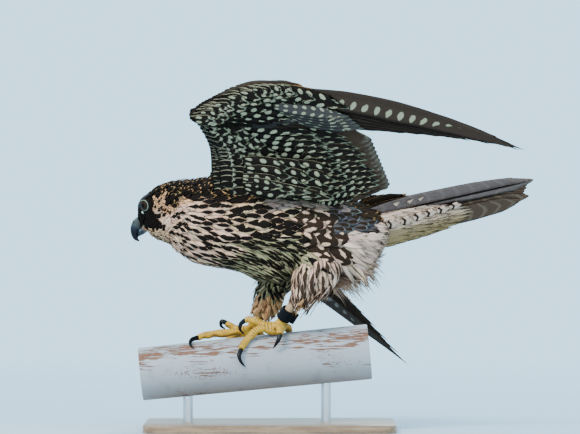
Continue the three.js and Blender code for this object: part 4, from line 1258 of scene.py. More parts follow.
# %% Body coat
HEAD_END = -88
BREAST_END = -8
x = roots[:, 0]
on_trunk = root_region == REGION["trunk"]
head_zone = on_head[~bare] | (on_trunk & (x < HEAD_END))
groups = {
    "head_coat": (head_zone, 5, 4, "head_feather"),
    "breast_coat": (on_trunk & ~head_zone & (x < BREAST_END), 6, 5, "breast_feather"),
    "belly_coat": (on_trunk & ~head_zone & (x >= BREAST_END), 6, 5, "breast_feather"),
    "thigh_coat_left": (root_region == REGION["thigh_left"], 6, 5, "breast_feather"),
    "thigh_coat_right": (root_region == REGION["thigh_right"], 6, 5, "breast_feather"),
}
for name, (members, rows, columns, slot) in groups.items():
    plumes = Plumes()
    chosen = roots[members]
    side = name.rsplit("_", 1)[-1]
    bake = thigh_map(chosen, side) if side in THIGHS else wrap_map(chosen)
    lay(chosen, root_normals[members], root_region[members], rows, columns, plumes, bake)
    dress(plumes.piece(name), small_feather, slot)

# %% [markdown]
# ## Flight feathers and coverts
#
# Ten primaries fan from the hand, secondaries and tertials from the arm, and rows of coverts roof their
# quills on both faces, smaller towards the front edge. A vane is drawn flat like the wing: from its
# quill to its tip, bowed, with a narrow leading web and a broad trailing one. Each step of the fan is set
# a little higher or lower than the last, so that the webs overlap without cutting into one another.

# %% Vanes on a drawing
OUTLINES = {
    "primary": ((0, 0.14), (0.12, 0.5), (0.3, 0.95), (0.5, 1.0), (0.72, 0.74), (0.9, 0.4), (1, 0.05)),
    "secondary": ((0, 0.16), (0.12, 0.6), (0.3, 0.95), (0.7, 1.0), (0.92, 0.86), (1, 0.5)),
    "quill_spot": ((0, 1), (0.5, 0.6), (1, 0.05)),
    "covert": ((0, 0.4), (0.25, 0.85), (0.6, 1.0), (0.85, 0.86), (1, 0.42)),
}
WEB = np.array((-1, -0.72, -0.42, -0.16, -0.045, 0.045, 0.16, 0.42, 0.72, 1))
SMALL_WEB = np.array((-1, -0.5, 0.0, 0.5, 1))
RAGGED_EDGE = 0.008
QUILL_HEIGHT = 0.35


def flat_vane(plumes, place, bake, root, tip, width, outline, colours, habit, rows=16, web=WEB,
              bow=0.0, lead=0.5, lift=0.0, rise=0.0, tilt=0.0, roof=0.012, thick=0.45, roundness=0.06,
              fade=None):
    """One vane laid from root to tip on a drawing that place() sets in space. Lead is the leading web's
    share of the width; roof and thick are turned over for a vane that is seen from below."""
    root, tip = np.array(root, float), np.array(tip, float)
    along = unit(tip - root)
    across = np.array((-along[1], along[0]))
    v = np.linspace(0, 1, rows)
    share = np.interp(v, *zip(*OUTLINES[outline]))
    ragged = rng.normal(0, RAGGED_EDGE, (rows, len(web))) * (v > 0.3)[:, None] * (np.abs(web) > 0.6)[None]
    reach = v[:, None] * (1 - roundness * web[None] ** 2 * v[:, None] ** 3) + ragged * v[:, None]
    offset = np.where(web < 0, web * lead, web * (1 - lead))[None] * (share * width)[:, None]
    bowed = across * (bow * 4 * reach * (1 - reach) + offset)[..., None]
    line = root + (tip - root) * reach[..., None] + bowed
    rib = QUILL_HEIGHT * (np.abs(web) < 0.1)[None] * (1 - 0.7 * v)[:, None]
    level = lift + rise * reach - tilt * offset - roof * offset**2 + rib
    grid = place(line[..., 0], line[..., 1], level)
    raised = place(line[..., 0], line[..., 1], level + 1) - grid
    number = rows * len(web) + (rows - 2) * (len(web) - 2)
    habits = np.tile(np.asarray(habit, float), (number, 1))
    if fade:
        along_all = np.concatenate([np.repeat(v, len(web)), np.repeat(v[1:-1], len(web) - 2)])
        habits[:, 3] *= 1 - ramp(along_all, *fade)
    ground, mark, edge = (np.clip(np.array(c) * (1 + rng.normal(0, 0.06)), 0, 1) for c in colours)
    plumes.add(grid[None], thick, unit(raised)[None], [bake(*root)], ground, mark, edge, habits[None],
               across=web, along=v)


def mean_of(a, b, share):
    return np.array(a, float) * (1 - share) + np.array(b, float) * share


def spot_on(points, t):
    return through(points, at=t)[0]


print("outlines:", ", ".join(OUTLINES))

# %% Wing colours
FLIGHT_DARK = (0.044, 0.028, 0.020)
FLIGHT_BROWN = (0.050, 0.030, 0.019)
COVERT_DARK = (0.010, 0.0072, 0.0055)
QUILL_EDGE = (0.17, 0.135, 0.10)
LINE_BUFF = (0.33, 0.30, 0.20)
SPOTTED = (COVERT_DARK, PALE_GREEN_GREY, PALE_GREEN_GREY)
LINED = (COVERT_DARK, PALE_GREEN_GREY, LINE_BUFF)
SMOKY = ((0.05, 0.043, 0.039), PALE_GREEN_GREY, (0.14, 0.125, 0.10))
SCALED = (DARK_BROWN, NEAR_BLACK, BUFF)
PLAIN = (DARK_BROWN, NEAR_BLACK, (0.13, 0.075, 0.045))

# %% [markdown]
# ## One wing's paper
#
# Both wings are drawn the same way, so a small class holds what depends on the wing: where the paper
# lies, where the quills sit and where the tips end. The far wing's arm sinks towards the body, and the
# feathers on it sink with it. A covert row is a line of short vanes across the paper, each of which
# points at the tip of the flight feather behind it.

# %% What a wing knows
UPPER, LOWER = 1, -1


def primary_tip(i):
    return (326.0 if i > 8 else WING_SPAN - 159 * ((8 - i) / 8) ** 1.1, -6 + 3.3 * i / 8)


def covert_look(face):
    """What all small vanes share: they curve over the upper face, or under the lower one."""
    return {"web": SMALL_WEB, "roof": 0.012 * face, "thick": 0.3 * face, "roundness": 0.3}


class WingPaper:
    def __init__(self, side):
        self.side = side
        self.wing = WINGS[side]

    def place(self, a, b, lift):
        return on_wing(self.wing, a, b, lift)

    def bake(self, a, b):
        return inside_map((a + 20) / 370), inside_map((b + 50) / 170)

    def vane(self, plumes, *shape, **settings):
        flat_vane(plumes, self.place, self.bake, *shape, **settings)

    def sunk(self, t):
        return self.wing["sink"] * t**3

    def secondary_tip(self, t):
        """Where the rear edge lies at share t of the arm, from the outermost secondary to the armpit."""
        if t < 0.78:
            return mean_of(self.wing["outer"], self.wing["inner"], t / 0.78)
        return spot_on([self.wing["inner"], *self.wing["tertials"]], (t - 0.78) / 0.22)

    def quill(self, t):
        return mean_of(spot_on(self.wing["rear"][::-1], t), spot_on(self.wing["lead"][::-1], t), 0.3)

    def quill_level(self, part, t):
        if part == "arm":
            return 2 + 5.9 * t - self.sunk(0.05 + 0.87 * t)
        return -1.2 - 8.6 * t

    def covert_row(self, plumes, part, face, s, number, length, width, colours, habit, level=0.6,
                   ends=(0.02, 0.98), rows=7, clear=None, rise=1.6):
        """A row of coverts rooted at share s of the chord, on the LOWER or UPPER face. A length below 1
        is a share of the way to the flight feathers' tips. The coverts' tips rise off the flesh, or end
        at a clear distance from the flight feathers."""
        for k in range(number):
            spot = ends[0] + (ends[1] - ends[0]) * (k + rng.uniform(-0.12, 0.12)) / (number - 1)
            t = np.clip(spot, 0, 1)
            at = core_level(self.wing, part, np.array([s]), np.array([t]), face)
            a, b, height = (value[0] for value in at)
            goal = self.secondary_tip(t) if part == "arm" else np.array(primary_tip(9 * t))
            away = unit(goal - np.array((a, b)))
            reach = length * rng.uniform(0.94, 1.06)
            if length < 1:
                reach *= np.linalg.norm(goal - np.array((a, b)))
            start, climb = height + face * level, face * rise
            if clear:
                droop = 0.22 * self.wing["sink"] * t * (part == "arm")
                end = self.quill_level(part, t) + face * (clear + droop)
                start = face * max(face * start, face * (end - face * 0.35 * clear))
                climb = end - start
            own = np.array(habit) * (1, rng.uniform(0.8, 1.15), 1, rng.uniform(0.7, 1.1))
            self.vane(plumes, (a, b), np.array((a, b)) + away * reach, width * rng.uniform(0.95, 1.1),
                      "covert", colours, own, rows=rows, lift=start, rise=climb, **covert_look(face))


# %% Flight feathers
PRIMARIES, SECONDARIES = 10, 15


def flight_feathers(paper, flights):
    for i in range(PRIMARIES):
        t = i / (PRIMARIES - 1)
        paper.vane(flights, spot_on(HAND_MIDDLE, t), primary_tip(i), 26 - 5 * t, "primary",
                   (FLIGHT_DARK, paper.wing["spots"], MID_BROWN), (0, 1.08 - 0.35 * (1 - t), 0.012, 0.80),
                   rows=44, bow=-5 - 7 * t, lead=0.4 - 0.12 * t, lift=-1.2 - 0.95 * i, roof=0.006,
                   fade=(0.62, 0.78))
    for i in range(SECONDARIES):
        t = i / (SECONDARIES - 1)
        at = 0.05 + 0.87 * t
        paper.vane(flights, paper.quill(at), paper.secondary_tip(t), 23, "secondary",
                   (FLIGHT_BROWN, PALE_GREEN_GREY, QUILL_EDGE), (0, 0, 0.035, 0), rows=24, bow=-3,
                   lead=0.45, lift=2 + 0.42 * i - paper.sunk(at), rise=-1, tilt=0.06, roof=0.004,
                   roundness=0.1, fade=(0.6, 0.8))


# %% Coverts of the lower face
# long rows: share of the chord, number, length, width, colours, habit, level, ends, rows, clear
# short rows: share of the chord and number; they get shorter and narrower towards the front edge
UNDER_ROWS = {
    "hand": {
        "long": (
            (0.86, 8, 90, 17, SMOKY, (0, 0.42, 0.03, 0.75), 0.3, (0.1, 0.7), 16, 1.8),
            (0.80, 9, 74, 17, SPOTTED, (0, 0.30, 0.03, 0.82), 0.6, (0.05, 1), 13, 2.6),
            (0.62, 9, 46, 16, SPOTTED, (0, 0.19, 0.05, 0.82), 0.9, (0, 1), 9, 3.4),
        ),
        "short": ((0.46, 8), (0.31, 9), (0.17, 12), (0.06, 15)),
        "shorter": 4.5, "width": 14, "fringe": 0.08, "higher": 0.05, "end": 1,
    },
    "arm": {
        "long": (
            (0.92, 12, 0.89, 20, SPOTTED, (0, 0.50, 0.025, 0.8), 0.2, (0, 0.97), 22, 3.2),
            (0.74, 12, 0.66, 19, SPOTTED, (0, 0.38, 0.035, 0.8), 0.6, (0, 0.97), 16, 4.2),
            (0.60, 11, 38, 17, SPOTTED, (0, 0.15, 0.05, 0.82), 0.9, (0, 0.98), 9, 5.0),
        ),
        "short": ((0.47, 11), (0.34, 12), (0.22, 15), (0.12, 18), (0.03, 21)),
        "shorter": 3.6, "width": 15.5, "fringe": 0.07, "higher": 0, "end": 0.98,
    },
}


def under_coverts(paper, lower):
    for part, table in UNDER_ROWS.items():
        for row in table["long"]:
            paper.covert_row(lower, part, LOWER, *row)
        for row, (s, number) in enumerate(table["short"]):
            spotted = row < 2
            habit = (0, 0.1 * spotted, table["fringe"] + 0.06 * row, 0.82)
            paper.covert_row(lower, part, LOWER, s, number, 27 - table["shorter"] * row,
                             table["width"] - 2.4 * row, SPOTTED if spotted else LINED, habit,
                             0.9 + table["higher"] * row, (0, table["end"]), rise=1.8)


# %% [markdown]
# ## Loose feathers on the lower face
#
# A few grey, ruffled feathers lie over the hand's spotted rows. Where arm and body meet, axillaries hang
# from the armpit over the flank; the longest three rows are on the near wing only, as they would poke
# through the far one. Two narrow dark vanes follow the front edge of the hand.

# %% Ruffled feathers, axillaries and front edge
def ruffled_feathers(paper, lower):
    for i in range(5):
        paper.vane(lower, (80 + 6 * i, -18 + 3.2 * i), (156 + 4 * i, -17 + 3 * i), 14, "covert", SMOKY,
                   (0, 0.42 - 0.05 * i, 0.05, 0.75), rows=16, lift=-11.2 + 1.1 * i, rise=-1,
                   **covert_look(LOWER))


def axillaries(paper, lower):
    for i in range(12 if paper.side == "left" else 0):
        row, step = divmod(i, 4)
        a, b = 100 - 22 * row + 3 * (step % 2), 38 + 7.5 * step
        habit = (0, 0.19 * rng.uniform(0.8, 1.2), 0.07, rng.uniform(0.65, 0.85))
        paper.vane(lower, (a, b), (a + 47, b + 1.5), 17, "covert", SPOTTED, habit, rows=12, bow=1,
                   lift=paper.wing["armpit"] + 6 - 2 * step - 1.2 * row, rise=-3, **covert_look(LOWER))
    for i in range(5):
        habit = (0, 0.17 * rng.uniform(0.75, 1.2), 0.09, rng.uniform(0.6, 0.85))
        paper.vane(lower, (56 + 9 * i, 55 + i), (98 + 13 * i, 56 + 1.6 * i), 13, "covert", SPOTTED, habit,
                   rows=10, bow=1, lift=paper.wing["armpit"] - 1.5, rise=-4.5, **covert_look(LOWER))


def front_edge_vanes(paper, lower):
    for i in range(2):
        paper.vane(lower, (22 + 8 * i, -20 - 3 * i), (103 - 13 * i, -42.5 + 2.4 * i), 8, "primary",
                   (FLIGHT_DARK, PALE_GREEN_GREY, LINE_BUFF), (0, 0, 0.05, 0), rows=14, bow=-5,
                   lift=-9.8 + 0.7 * i)


# %% Coverts of the upper face
def scaly(fringe):
    """Dark feathers with a thin shaft line and a pale fringe."""
    return (0.08, 0, fringe, 0)


def upper_coverts(paper, upper):
    paper.covert_row(upper, "hand", UPPER, 0.80, 10, 84, 17, SCALED, scaly(0.10), 0.4, (0.05, 0.98), 12,
                     rise=0.4)
    paper.covert_row(upper, "hand", UPPER, 0.55, 10, 40, 15, SCALED, scaly(0.12), 0.8, (0, 0.98))
    for row, s in enumerate((0.36, 0.2, 0.09, 0.02)):
        paper.covert_row(upper, "hand", UPPER, s, 11 + 3 * row, 25 - 4 * row, 13 - 2 * row, PLAIN,
                         scaly(0.09), 0.9, (0, 1), rise=1.2)
    paper.covert_row(upper, "arm", UPPER, 0.92, 15, 54, 18, SCALED, scaly(0.10), 0.5, (0.04, 0.97), 10, 1.2)
    paper.covert_row(upper, "arm", UPPER, 0.68, 15, 34, 16, SCALED, scaly(0.12), 0.8, (0.02, 0.97))
    for row, s in enumerate((0.5, 0.36, 0.24, 0.13, 0.04)):
        paper.covert_row(upper, "arm", UPPER, s, 17 + row, 23 - 2 * row, 13 - 1.3 * row, SCALED,
                         scaly(0.09), 0.9, (0, 0.98))


# %% Both wings
for side in WINGS:
    paper = WingPaper(side)
    flights, lower, upper = Plumes(), Plumes(), Plumes()
    flight_feathers(paper, flights)
    under_coverts(paper, lower)
    ruffled_feathers(paper, lower)
    axillaries(paper, lower)
    upper_coverts(paper, upper)
    front_edge_vanes(paper, lower)
    nodes = ("wing_%s_arm" % side, "wing_%s_hand" % side)
    dress(flights.piece("flight_feathers_" + side), long_feather, "wing_feather", *nodes)
    dress(lower.piece("under_coverts_" + side), small_feather, "wing_feather", *nodes)
    dress(upper.piece("upper_coverts_" + side), small_feather, "wing_feather", *nodes)

# %% [markdown]
# ## The tail
#
# Twelve feathers lie almost closed, the middle pair on top, turned so that the lower face shows. The
# outer ones on the near side are paler. Dark coverts with a buff fringe roof their quills above. Below,
# cream and olive ones run out of the soft feathers of the vent, six of them barred; their olive, towards
# the lower edge, is painted shade.

# %% Tail frame and colours
TAIL_ROOT, TAIL_TIP = np.array((100, 0, 211.0)), np.array((263, 0, 245.5))
TAIL_ROLL = math.radians(50)
TAIL_LENGTH = float(np.linalg.norm(TAIL_TIP - TAIL_ROOT))
TAIL_BROWN, TAIL_BAR = (0.090, 0.053, 0.034), (0.135, 0.090, 0.058)
OUTER_BROWN, OUTER_BAR = (0.150, 0.102, 0.088), (0.170, 0.118, 0.100)
OLIVE = (0.28, 0.185, 0.085)
tail_along = unit(TAIL_TIP - TAIL_ROOT)
tail_left = np.array((0, -math.cos(TAIL_ROLL), math.sin(TAIL_ROLL)))
tail_left = unit(tail_left - tail_along * (tail_left @ tail_along))
tail_upper = np.cross(tail_left, tail_along)


def on_tail(a, b, lift):
    a, b, lift = np.broadcast_arrays(a, b, lift)
    return TAIL_ROOT + a[..., None] * tail_along + b[..., None] * tail_left + lift[..., None] * tail_upper


def tail_bake(a, b):
    return 0.05 + 0.9 * (a + 20) / 220, 0.05 + 0.9 * (b + 35) / 70


def tail_vane(plumes, *shape, **settings):
    flat_vane(plumes, on_tail, tail_bake, *shape, **settings)


print("tail length:", round(TAIL_LENGTH, 1))

# %% Tail feathers
NO_MARKS = (0, 0, 0, 0)
UNDER_TAIL = {"web": SMALL_WEB, "roof": -0.01, "thick": -0.3}
tail = Plumes()
for i in range(6):
    for j, side in enumerate((1, -1)):
        worn = rng.uniform(-7, 3)
        brown = (OUTER_BROWN, OUTER_BAR, BUFF) if side > 0 and i > 2 else (TAIL_BROWN, TAIL_BAR, BUFF)
        tip = (TAIL_LENGTH - (0.55 - 0.35 * side) * i**1.6 + worn, side * (1.5 + 2.0 * i))
        tail_vane(tail, (-6, side * (1.5 + 2.6 * i)), tip, 22, "secondary", brown, (0, 0.55, 0.012, 2),
                  rows=40, bow=side * (0.3 + 0.4 * i), lead=0.55 if side > 0 else 0.45,
                  lift=4 - 0.95 * (2 * i + j), roof=0.004, roundness=0.08)
dress(tail.piece("tail_feathers"), tail_quill_feather, "tail_feather", "tail")

# %% Coverts below the tail
under_tail = Plumes()
PER_ROW = 9
for row, (length, level) in enumerate(((104, -8.6), (84, -10.0), (62, -11.2), (42, -12.4))):
    for k in range(PER_ROW):
        t = k / (PER_ROW - 1)
        # the ground runs from olive on the lower edge to white-buff on the upper one; the olive is painted
        # shade on the side turned down
        ground = mean_of(OLIVE, WHITE_BUFF, np.clip(1.9 * t - 0.6, 0, 1))
        tip = (length * (0.66 + 0.34 * math.sin(math.pi * (0.1 + 0.8 * t))), -27 + 31 * t)
        tail_vane(under_tail, (-10, -23 + 29 * t), tip, 13, "covert", (ground, NEAR_BLACK, OLIVE),
                  (0.04 * (row == 1), 0, 0, 0), rows=14, lift=level - 0.6 * (k % 2), rise=1.2,
                  roundness=0.25, **UNDER_TAIL)
for k in range(6):
    a, b = 28 + 13 * k + rng.uniform(-1.5, 1.5), -1.5 + 0.8 * k + rng.uniform(-1, 1)
    tail_vane(under_tail, (a - 13, b), (a, b + 0.4), 14 - 0.9 * k, "covert",
              (WHITE_BUFF, (0.03, 0.018, 0.012), CREAM), (0, 0.065, 0, 2), rows=14,
              lift=-13.9 + 0.75 * k, rise=0.6, roundness=0.3, **UNDER_TAIL)
# three pale spots, and a near-black line between tail and coverts, a painted shadow in the gap where they
# part
for k, (a, b) in enumerate(((26, 19), (40, 18.5), (51, 19))):
    tail_vane(under_tail, (a, b - 1), (a + 6, b + 2.5), 6.5 - k, "quill_spot", (WHITE_BUFF,) * 3, NO_MARKS,
              rows=6, web=SMALL_WEB, lift=-8.6, roof=0, roundness=0, thick=-0.3)
# a thin near-black vane: painted shadow along the gap above the coverts
tail_vane(under_tail, (16, 10.5), (TAIL_LENGTH - 5, 12), 2.6, "secondary", (NEAR_BLACK,) * 3, NO_MARKS,
          rows=30, web=SMALL_WEB, lift=-8.2, rise=0.4, roof=0, thick=-0.3)
dress(under_tail.piece("under_tail_coverts"), small_feather, "tail_feather", "tail")

# %% Coverts above the tail
over_tail = Plumes()
for row, (count, length) in enumerate(((9, 106), (9, 78), (8, 52))):
    for k in range(count):
        t = k / (count - 1)
        tip = (length * 0.56 * (0.7 + 0.3 * math.sin(math.pi * t)), 18 * (2 * t - 1))
        tail_vane(over_tail, (-10, -13 + 26 * t), tip, 16, "covert", SCALED, scaly(0.07), rows=10,
                  web=SMALL_WEB, lift=6.0 + 1.3 * row + 0.6 * (k % 2), rise=-1, roundness=0.25)
dress(over_tail.piece("upper_tail_coverts"), small_feather, "tail_feather", "tail")

# %% [markdown]
# ## Bill
#
# A falcon's bill is short, deep and hooked, with a tooth on the cutting edge and soft skin, the cere,
# round the nostrils. A fine loft gives the hook. The tooth, the swelling of the cere and the pits of the
# nostrils are pushed out of it or into it by smooth bumps, worked out for each point.

# %% Stations of the bill
UPPER_BILL = [
    ((18.5, 0, -2.4), (9.4, 4.4, 5.2)), ((22.5, 0, -2.2), (8.9, 4.8, 5.3)), ((27, 0, -2.4), (7.6, 5.2, 5.2)),
    ((31.4, 0, -4.2), (5.9, 4.7, 4.7)), ((35, 0, -7.6), (4.1, 3.3, 3.9)), ((36.6, 0, -11.5), (2.3, 1.8, 2.1)),
    ((35.8, 0, -16), (0.4, 0.4, 0.4)),
]
LOWER_BILL = [
    ((13, 0, -10.4), (8.6, 1.8, 3.6)), ((20, 0, -10.8), (7.2, 1.8, 3.4)), ((27, 0, -11.4), (5, 1.6, 2.6)),
    ((32.5, 0, -11.6), (1.4, 0.8, 0.8)),
]
NOSTRIL = np.array((25.2, 6.4, -0.6))
CERE_END = 26.3


def bump_at(points, centre, radius):
    return np.exp(-np.sum(((points - centre) / radius) ** 2, axis=1))


def bill_piece(name, points, sides, cere, hook, pit):
    """A half of the bill, from points in head coordinates, with the shares of its finish painted on."""
    piece = closed_piece(name, head_place(points), tube_faces(len(points) // sides, sides))
    for layer, share in (("cere", cere), ("hook", hook), ("pit", pit)):
        paint(piece, layer, share, "FLOAT")
    return piece


# %% Upper bill
grid = rings(UPPER_BILL, 90, 64)
points = grid.reshape(-1, 3)
spine = np.repeat(grid.mean(axis=1), 64, axis=0)
outward = unit(points - spine)
x, y, z = points.T
cere = 1 - ramp(x - 0.12 * np.abs(z + 2), CERE_END - 0.5, CERE_END + 0.3)
swell = 0.55 * cere * ramp(x, 18, 21)
keel = 0.5 * np.exp(-((y / 1.6) ** 2)) * (z > spine[:, 2]) * ramp(x, 22, 28)
tooth = np.zeros(len(points))
for sign in (1, -1):
    opening = NOSTRIL * (1, sign, 1) + (0, sign * 1.4, 0)
    tooth += 1.5 * bump_at(points, (34.2, sign * 3.0, -10.4), (1.5, 1.9, 1.7))
    swell -= 2.3 * bump_at(points, opening, (1.15, 3, 1.25))
    swell += 1.5 * bump_at(points, opening, (0.42, 3, 0.42))
points = points + outward * (swell + keel)[:, None] + np.array((0.1, 0, -1)) * tooth[:, None]
pit = sum(bump_at(points, NOSTRIL * (1, s, 1) + (0, s * 1.2, 0), (1.0, 3, 1.1)) for s in (1, -1))
upper_bill = bill_piece("upper_bill", points, 64, cere, ramp(x, 26, 33.5), np.clip(pit * 1.4, 0, 1))

# %% Lower bill
points = rings(LOWER_BILL, 40, 40).reshape(-1, 3)
x = points[:, 0]
lower_bill = bill_piece("lower_bill", points, 40, 1 - ramp(x, 20, 25), ramp(x, 24, 33), np.zeros(len(x)))
print("bill tip at", head_place(UPPER_BILL[-1][0]).round(1))


# %% Horn and soft skin
def bill_finish(name, soft_skin, soft_skin_light):
    look = Finish(name, Specular_IOR_Level=0.16)
    cere, hook, pit = (look.painted(name, out="Fac") for name in ("cere", "hook", "pit"))
    streaks = look.noise(190, 4.0)
    horn = look.mixed(hook + (streaks - 0.5) * 0.3, (0.028, 0.033, 0.045), (0.003, 0.003, 0.005))
    wax = look.mixed(look.noise(420, 3.0), soft_skin, soft_skin_light)
    colour = look.mixed(cere, horn, wax)
    # the nostril pits are painted near black, painted shade for the depth of the openings
    colour = look.mixed(pit, colour, (0.01, 0.01, 0.012))
    relief = look.noise(900, 2.0) * cere * 0.6 + streaks * 0.3
    return look.drive(Base_Color=colour, Roughness=cere * 0.25 + 0.28, Normal=look.bumped(relief, 0.15))


horn = bill_finish("horn_and_cere", (0.036, 0.038, 0.038), (0.078, 0.075, 0.065))
dress(upper_bill, horn, "bill", "beak_upper")
lower_horn = bill_finish("horn_and_gape", (0.13, 0.105, 0.07), (0.22, 0.175, 0.115))
dress(lower_bill, lower_horn, "bill", "beak_lower")

# %% [markdown]
# ## Eyes
#
# The eye is very dark, almost filling its opening, with bare pale skin round it in a pebbled ring. A
# glossy ball sits as deep as in life; two rings of small beads and a thin dark rim frame it, and a small
# pale patch lies before it. A brow ridge, the falcon's stern look, is a slim loft over it.

# %% Sizes and finishes of the eye
EYE_RADIUS = 6.2
EYE_YAW = math.radians(16)
LORE = {"at": (6.6, 15.6, -2.6), "size": (1.5, 1.2, 2.0)}
# rings round the eye: radius, distance from its middle, thickness, beads
LID_RING = (5.1, 3.9, 0.45, 24)
RIM_RINGS = ((4.5, 4.3, 0.55, 0), (5.75, 3.4, 0.7, 28))
BROW = [((12, 9.6, 4.2), (1.2, 1.2, 1.2)), ((4, 14.6, 6.6), (2.0, 1.7, 1.9)),
        ((-4, 17.2, 7.2), (1.9, 1.6, 1.9)), ((-11, 17.6, 6.0), (0.9, 0.8, 0.8))]
eye_look = Finish("eye", Roughness=0.05, Specular_IOR_Level=0.045)
ex, ey = eye_look.parts(eye_look.node("UVMap", uv_map="eye"))[:2]
gap = ((ex - 0.5) ** 2 + (ey - 0.5) ** 2) ** 0.5
eye_look.drive(Base_Color=eye_look.mixed(gap.step(0.17, 0.20), (0.002, 0.002, 0.002), (0.026, 0.011, 0.006)))
ring_skin = Finish("orbital_skin", Roughness=0.5, Specular_IOR_Level=0.35)
beads = ring_skin.noise(700, 2.0)
ring_skin.drive(Base_Color=ring_skin.mixed(beads, (0.16, 0.20, 0.14), (0.40, 0.46, 0.34)),
                Normal=ring_skin.bumped(beads, 0.3))
dark_rim = Finish("lid_rim", Base_Color=(0.014, 0.012, 0.01), Roughness=0.6, Specular_IOR_Level=0.1).material
pale_lore = Finish("pale_lore", Base_Color=(0.36, 0.39, 0.32), Roughness=0.5).material
brow_look = {side: Finish("brow_" + side, Base_Color=(0.018, 0.014, 0.013), Roughness=0.8).material
             for side in ("left", "right")}


# %% Balls and bead rings on the head
def head_ball(name, segments, ring_count, radius, stretch, centre):
    """A ball at a place in head coordinates. Gives the piece, and its points as they were made."""
    deselect()
    bpy.ops.mesh.primitive_uv_sphere_add(segments=segments, ring_count=ring_count, radius=radius * MM)
    ball = bpy.context.object
    ball.name = ball.data.name = name
    local = vertex_arrays(ball)[0]
    placed = head_place(local * np.array(stretch) + centre) * MM
    ball.data.vertices.foreach_set("co", placed.ravel())
    ball.data.update()
    ball.data.shade_smooth()
    return ball, local


def bead_ring(centre, axes, reach, out, radius, beads, turns=160, sides=10):
    """A closed ring round the eye whose thickness swells and shrinks like a row of beads."""
    axis, u_axis, v_axis = axes
    phi, psi = full_turn(turns), full_turn(sides)
    swell = radius * (1 + 0.22 * np.cos(beads * phi))
    spoke = np.cos(phi)[:, None] * u_axis + np.sin(phi)[:, None] * v_axis
    hub = centre + axis * out + spoke * reach
    tube = np.cos(psi)[None, :, None] * unit(spoke)[:, None] + np.sin(psi)[None, :, None] * axis
    points = (hub[:, None] + tube * swell[:, None, None]).reshape(-1, 3)
    return closed_piece("ring", head_place(points), hoop_faces(turns, sides))


# %% Both eyes
for side, sign in (("left", 1), ("right", -1)):
    centre = EYE_AT * (1, sign, 1)
    axis = unit((math.sin(EYE_YAW), sign * math.cos(EYE_YAW), 0.0))
    u_axis = unit(np.cross(axis, (0, 0, 1)))
    axes = (axis, u_axis, np.cross(u_axis, axis))
    ball, local = head_ball("eye_ball_" + side, 64, 40, EYE_RADIUS, (1, 1, 1), centre)
    u = np.where(local @ axis > 0, local @ u_axis, 9.9) / (2 * EYE_RADIUS) + 0.5
    v = local @ axes[2] / (2 * EYE_RADIUS) + 0.5
    order = np.array([loop.vertex_index for loop in ball.data.loops])
    uv = np.stack([u[order], v[order]], axis=1)
    ball.data.uv_layers.new(name="eye").data.foreach_set("uv", uv.ravel())
    dress(ball, eye_look.material, "eye", "eye_" + side)
    lids = joined([bead_ring(centre, axes, *LID_RING)], "eyelids_" + side)
    dress(lids, ring_skin.material, "foot_skin", "head")
    rims = joined([bead_ring(centre, axes, *ring) for ring in RIM_RINGS], "lid_rims_" + side)
    dress(rims, dark_rim, "foot_skin", "head")
    lore, local = head_ball("bare_lore_" + side, 32, 20, 1, LORE["size"],
                            np.array(LORE["at"]) * (1, sign, 1))
    dress(lore, pale_lore, "foot_skin", "head")
    flipped = [((x, sign * y, z), size) for (x, y, z), size in BROW]
    points = head_place(rings(flipped, 24, 16).reshape(-1, 3))
    brow = closed_piece("brow_" + side, points, tube_faces(24, 16))
    dress(brow, brow_look[side], "head_feather", "head")
print("eye at", head_place(EYE_AT).round(1))

# %% [markdown]
# ## Legs, feet and claws
#
# Long yellow toes wrap the tube. A toe is a loft that swells at each joint. Scutes are steps in the
# radius of its upper side, and pads are swellings of its underside. Claws are smooth black hooks with a
# groove below. All toes and the shank of a foot are separate closed forms melted by one voxel remesh, so that
# the skin runs on from toe to toe. The undersides that face the tube are painted dark as painted shade, and
# each scute has a painted highlight on its raised edge and painted shade where it meets the next.

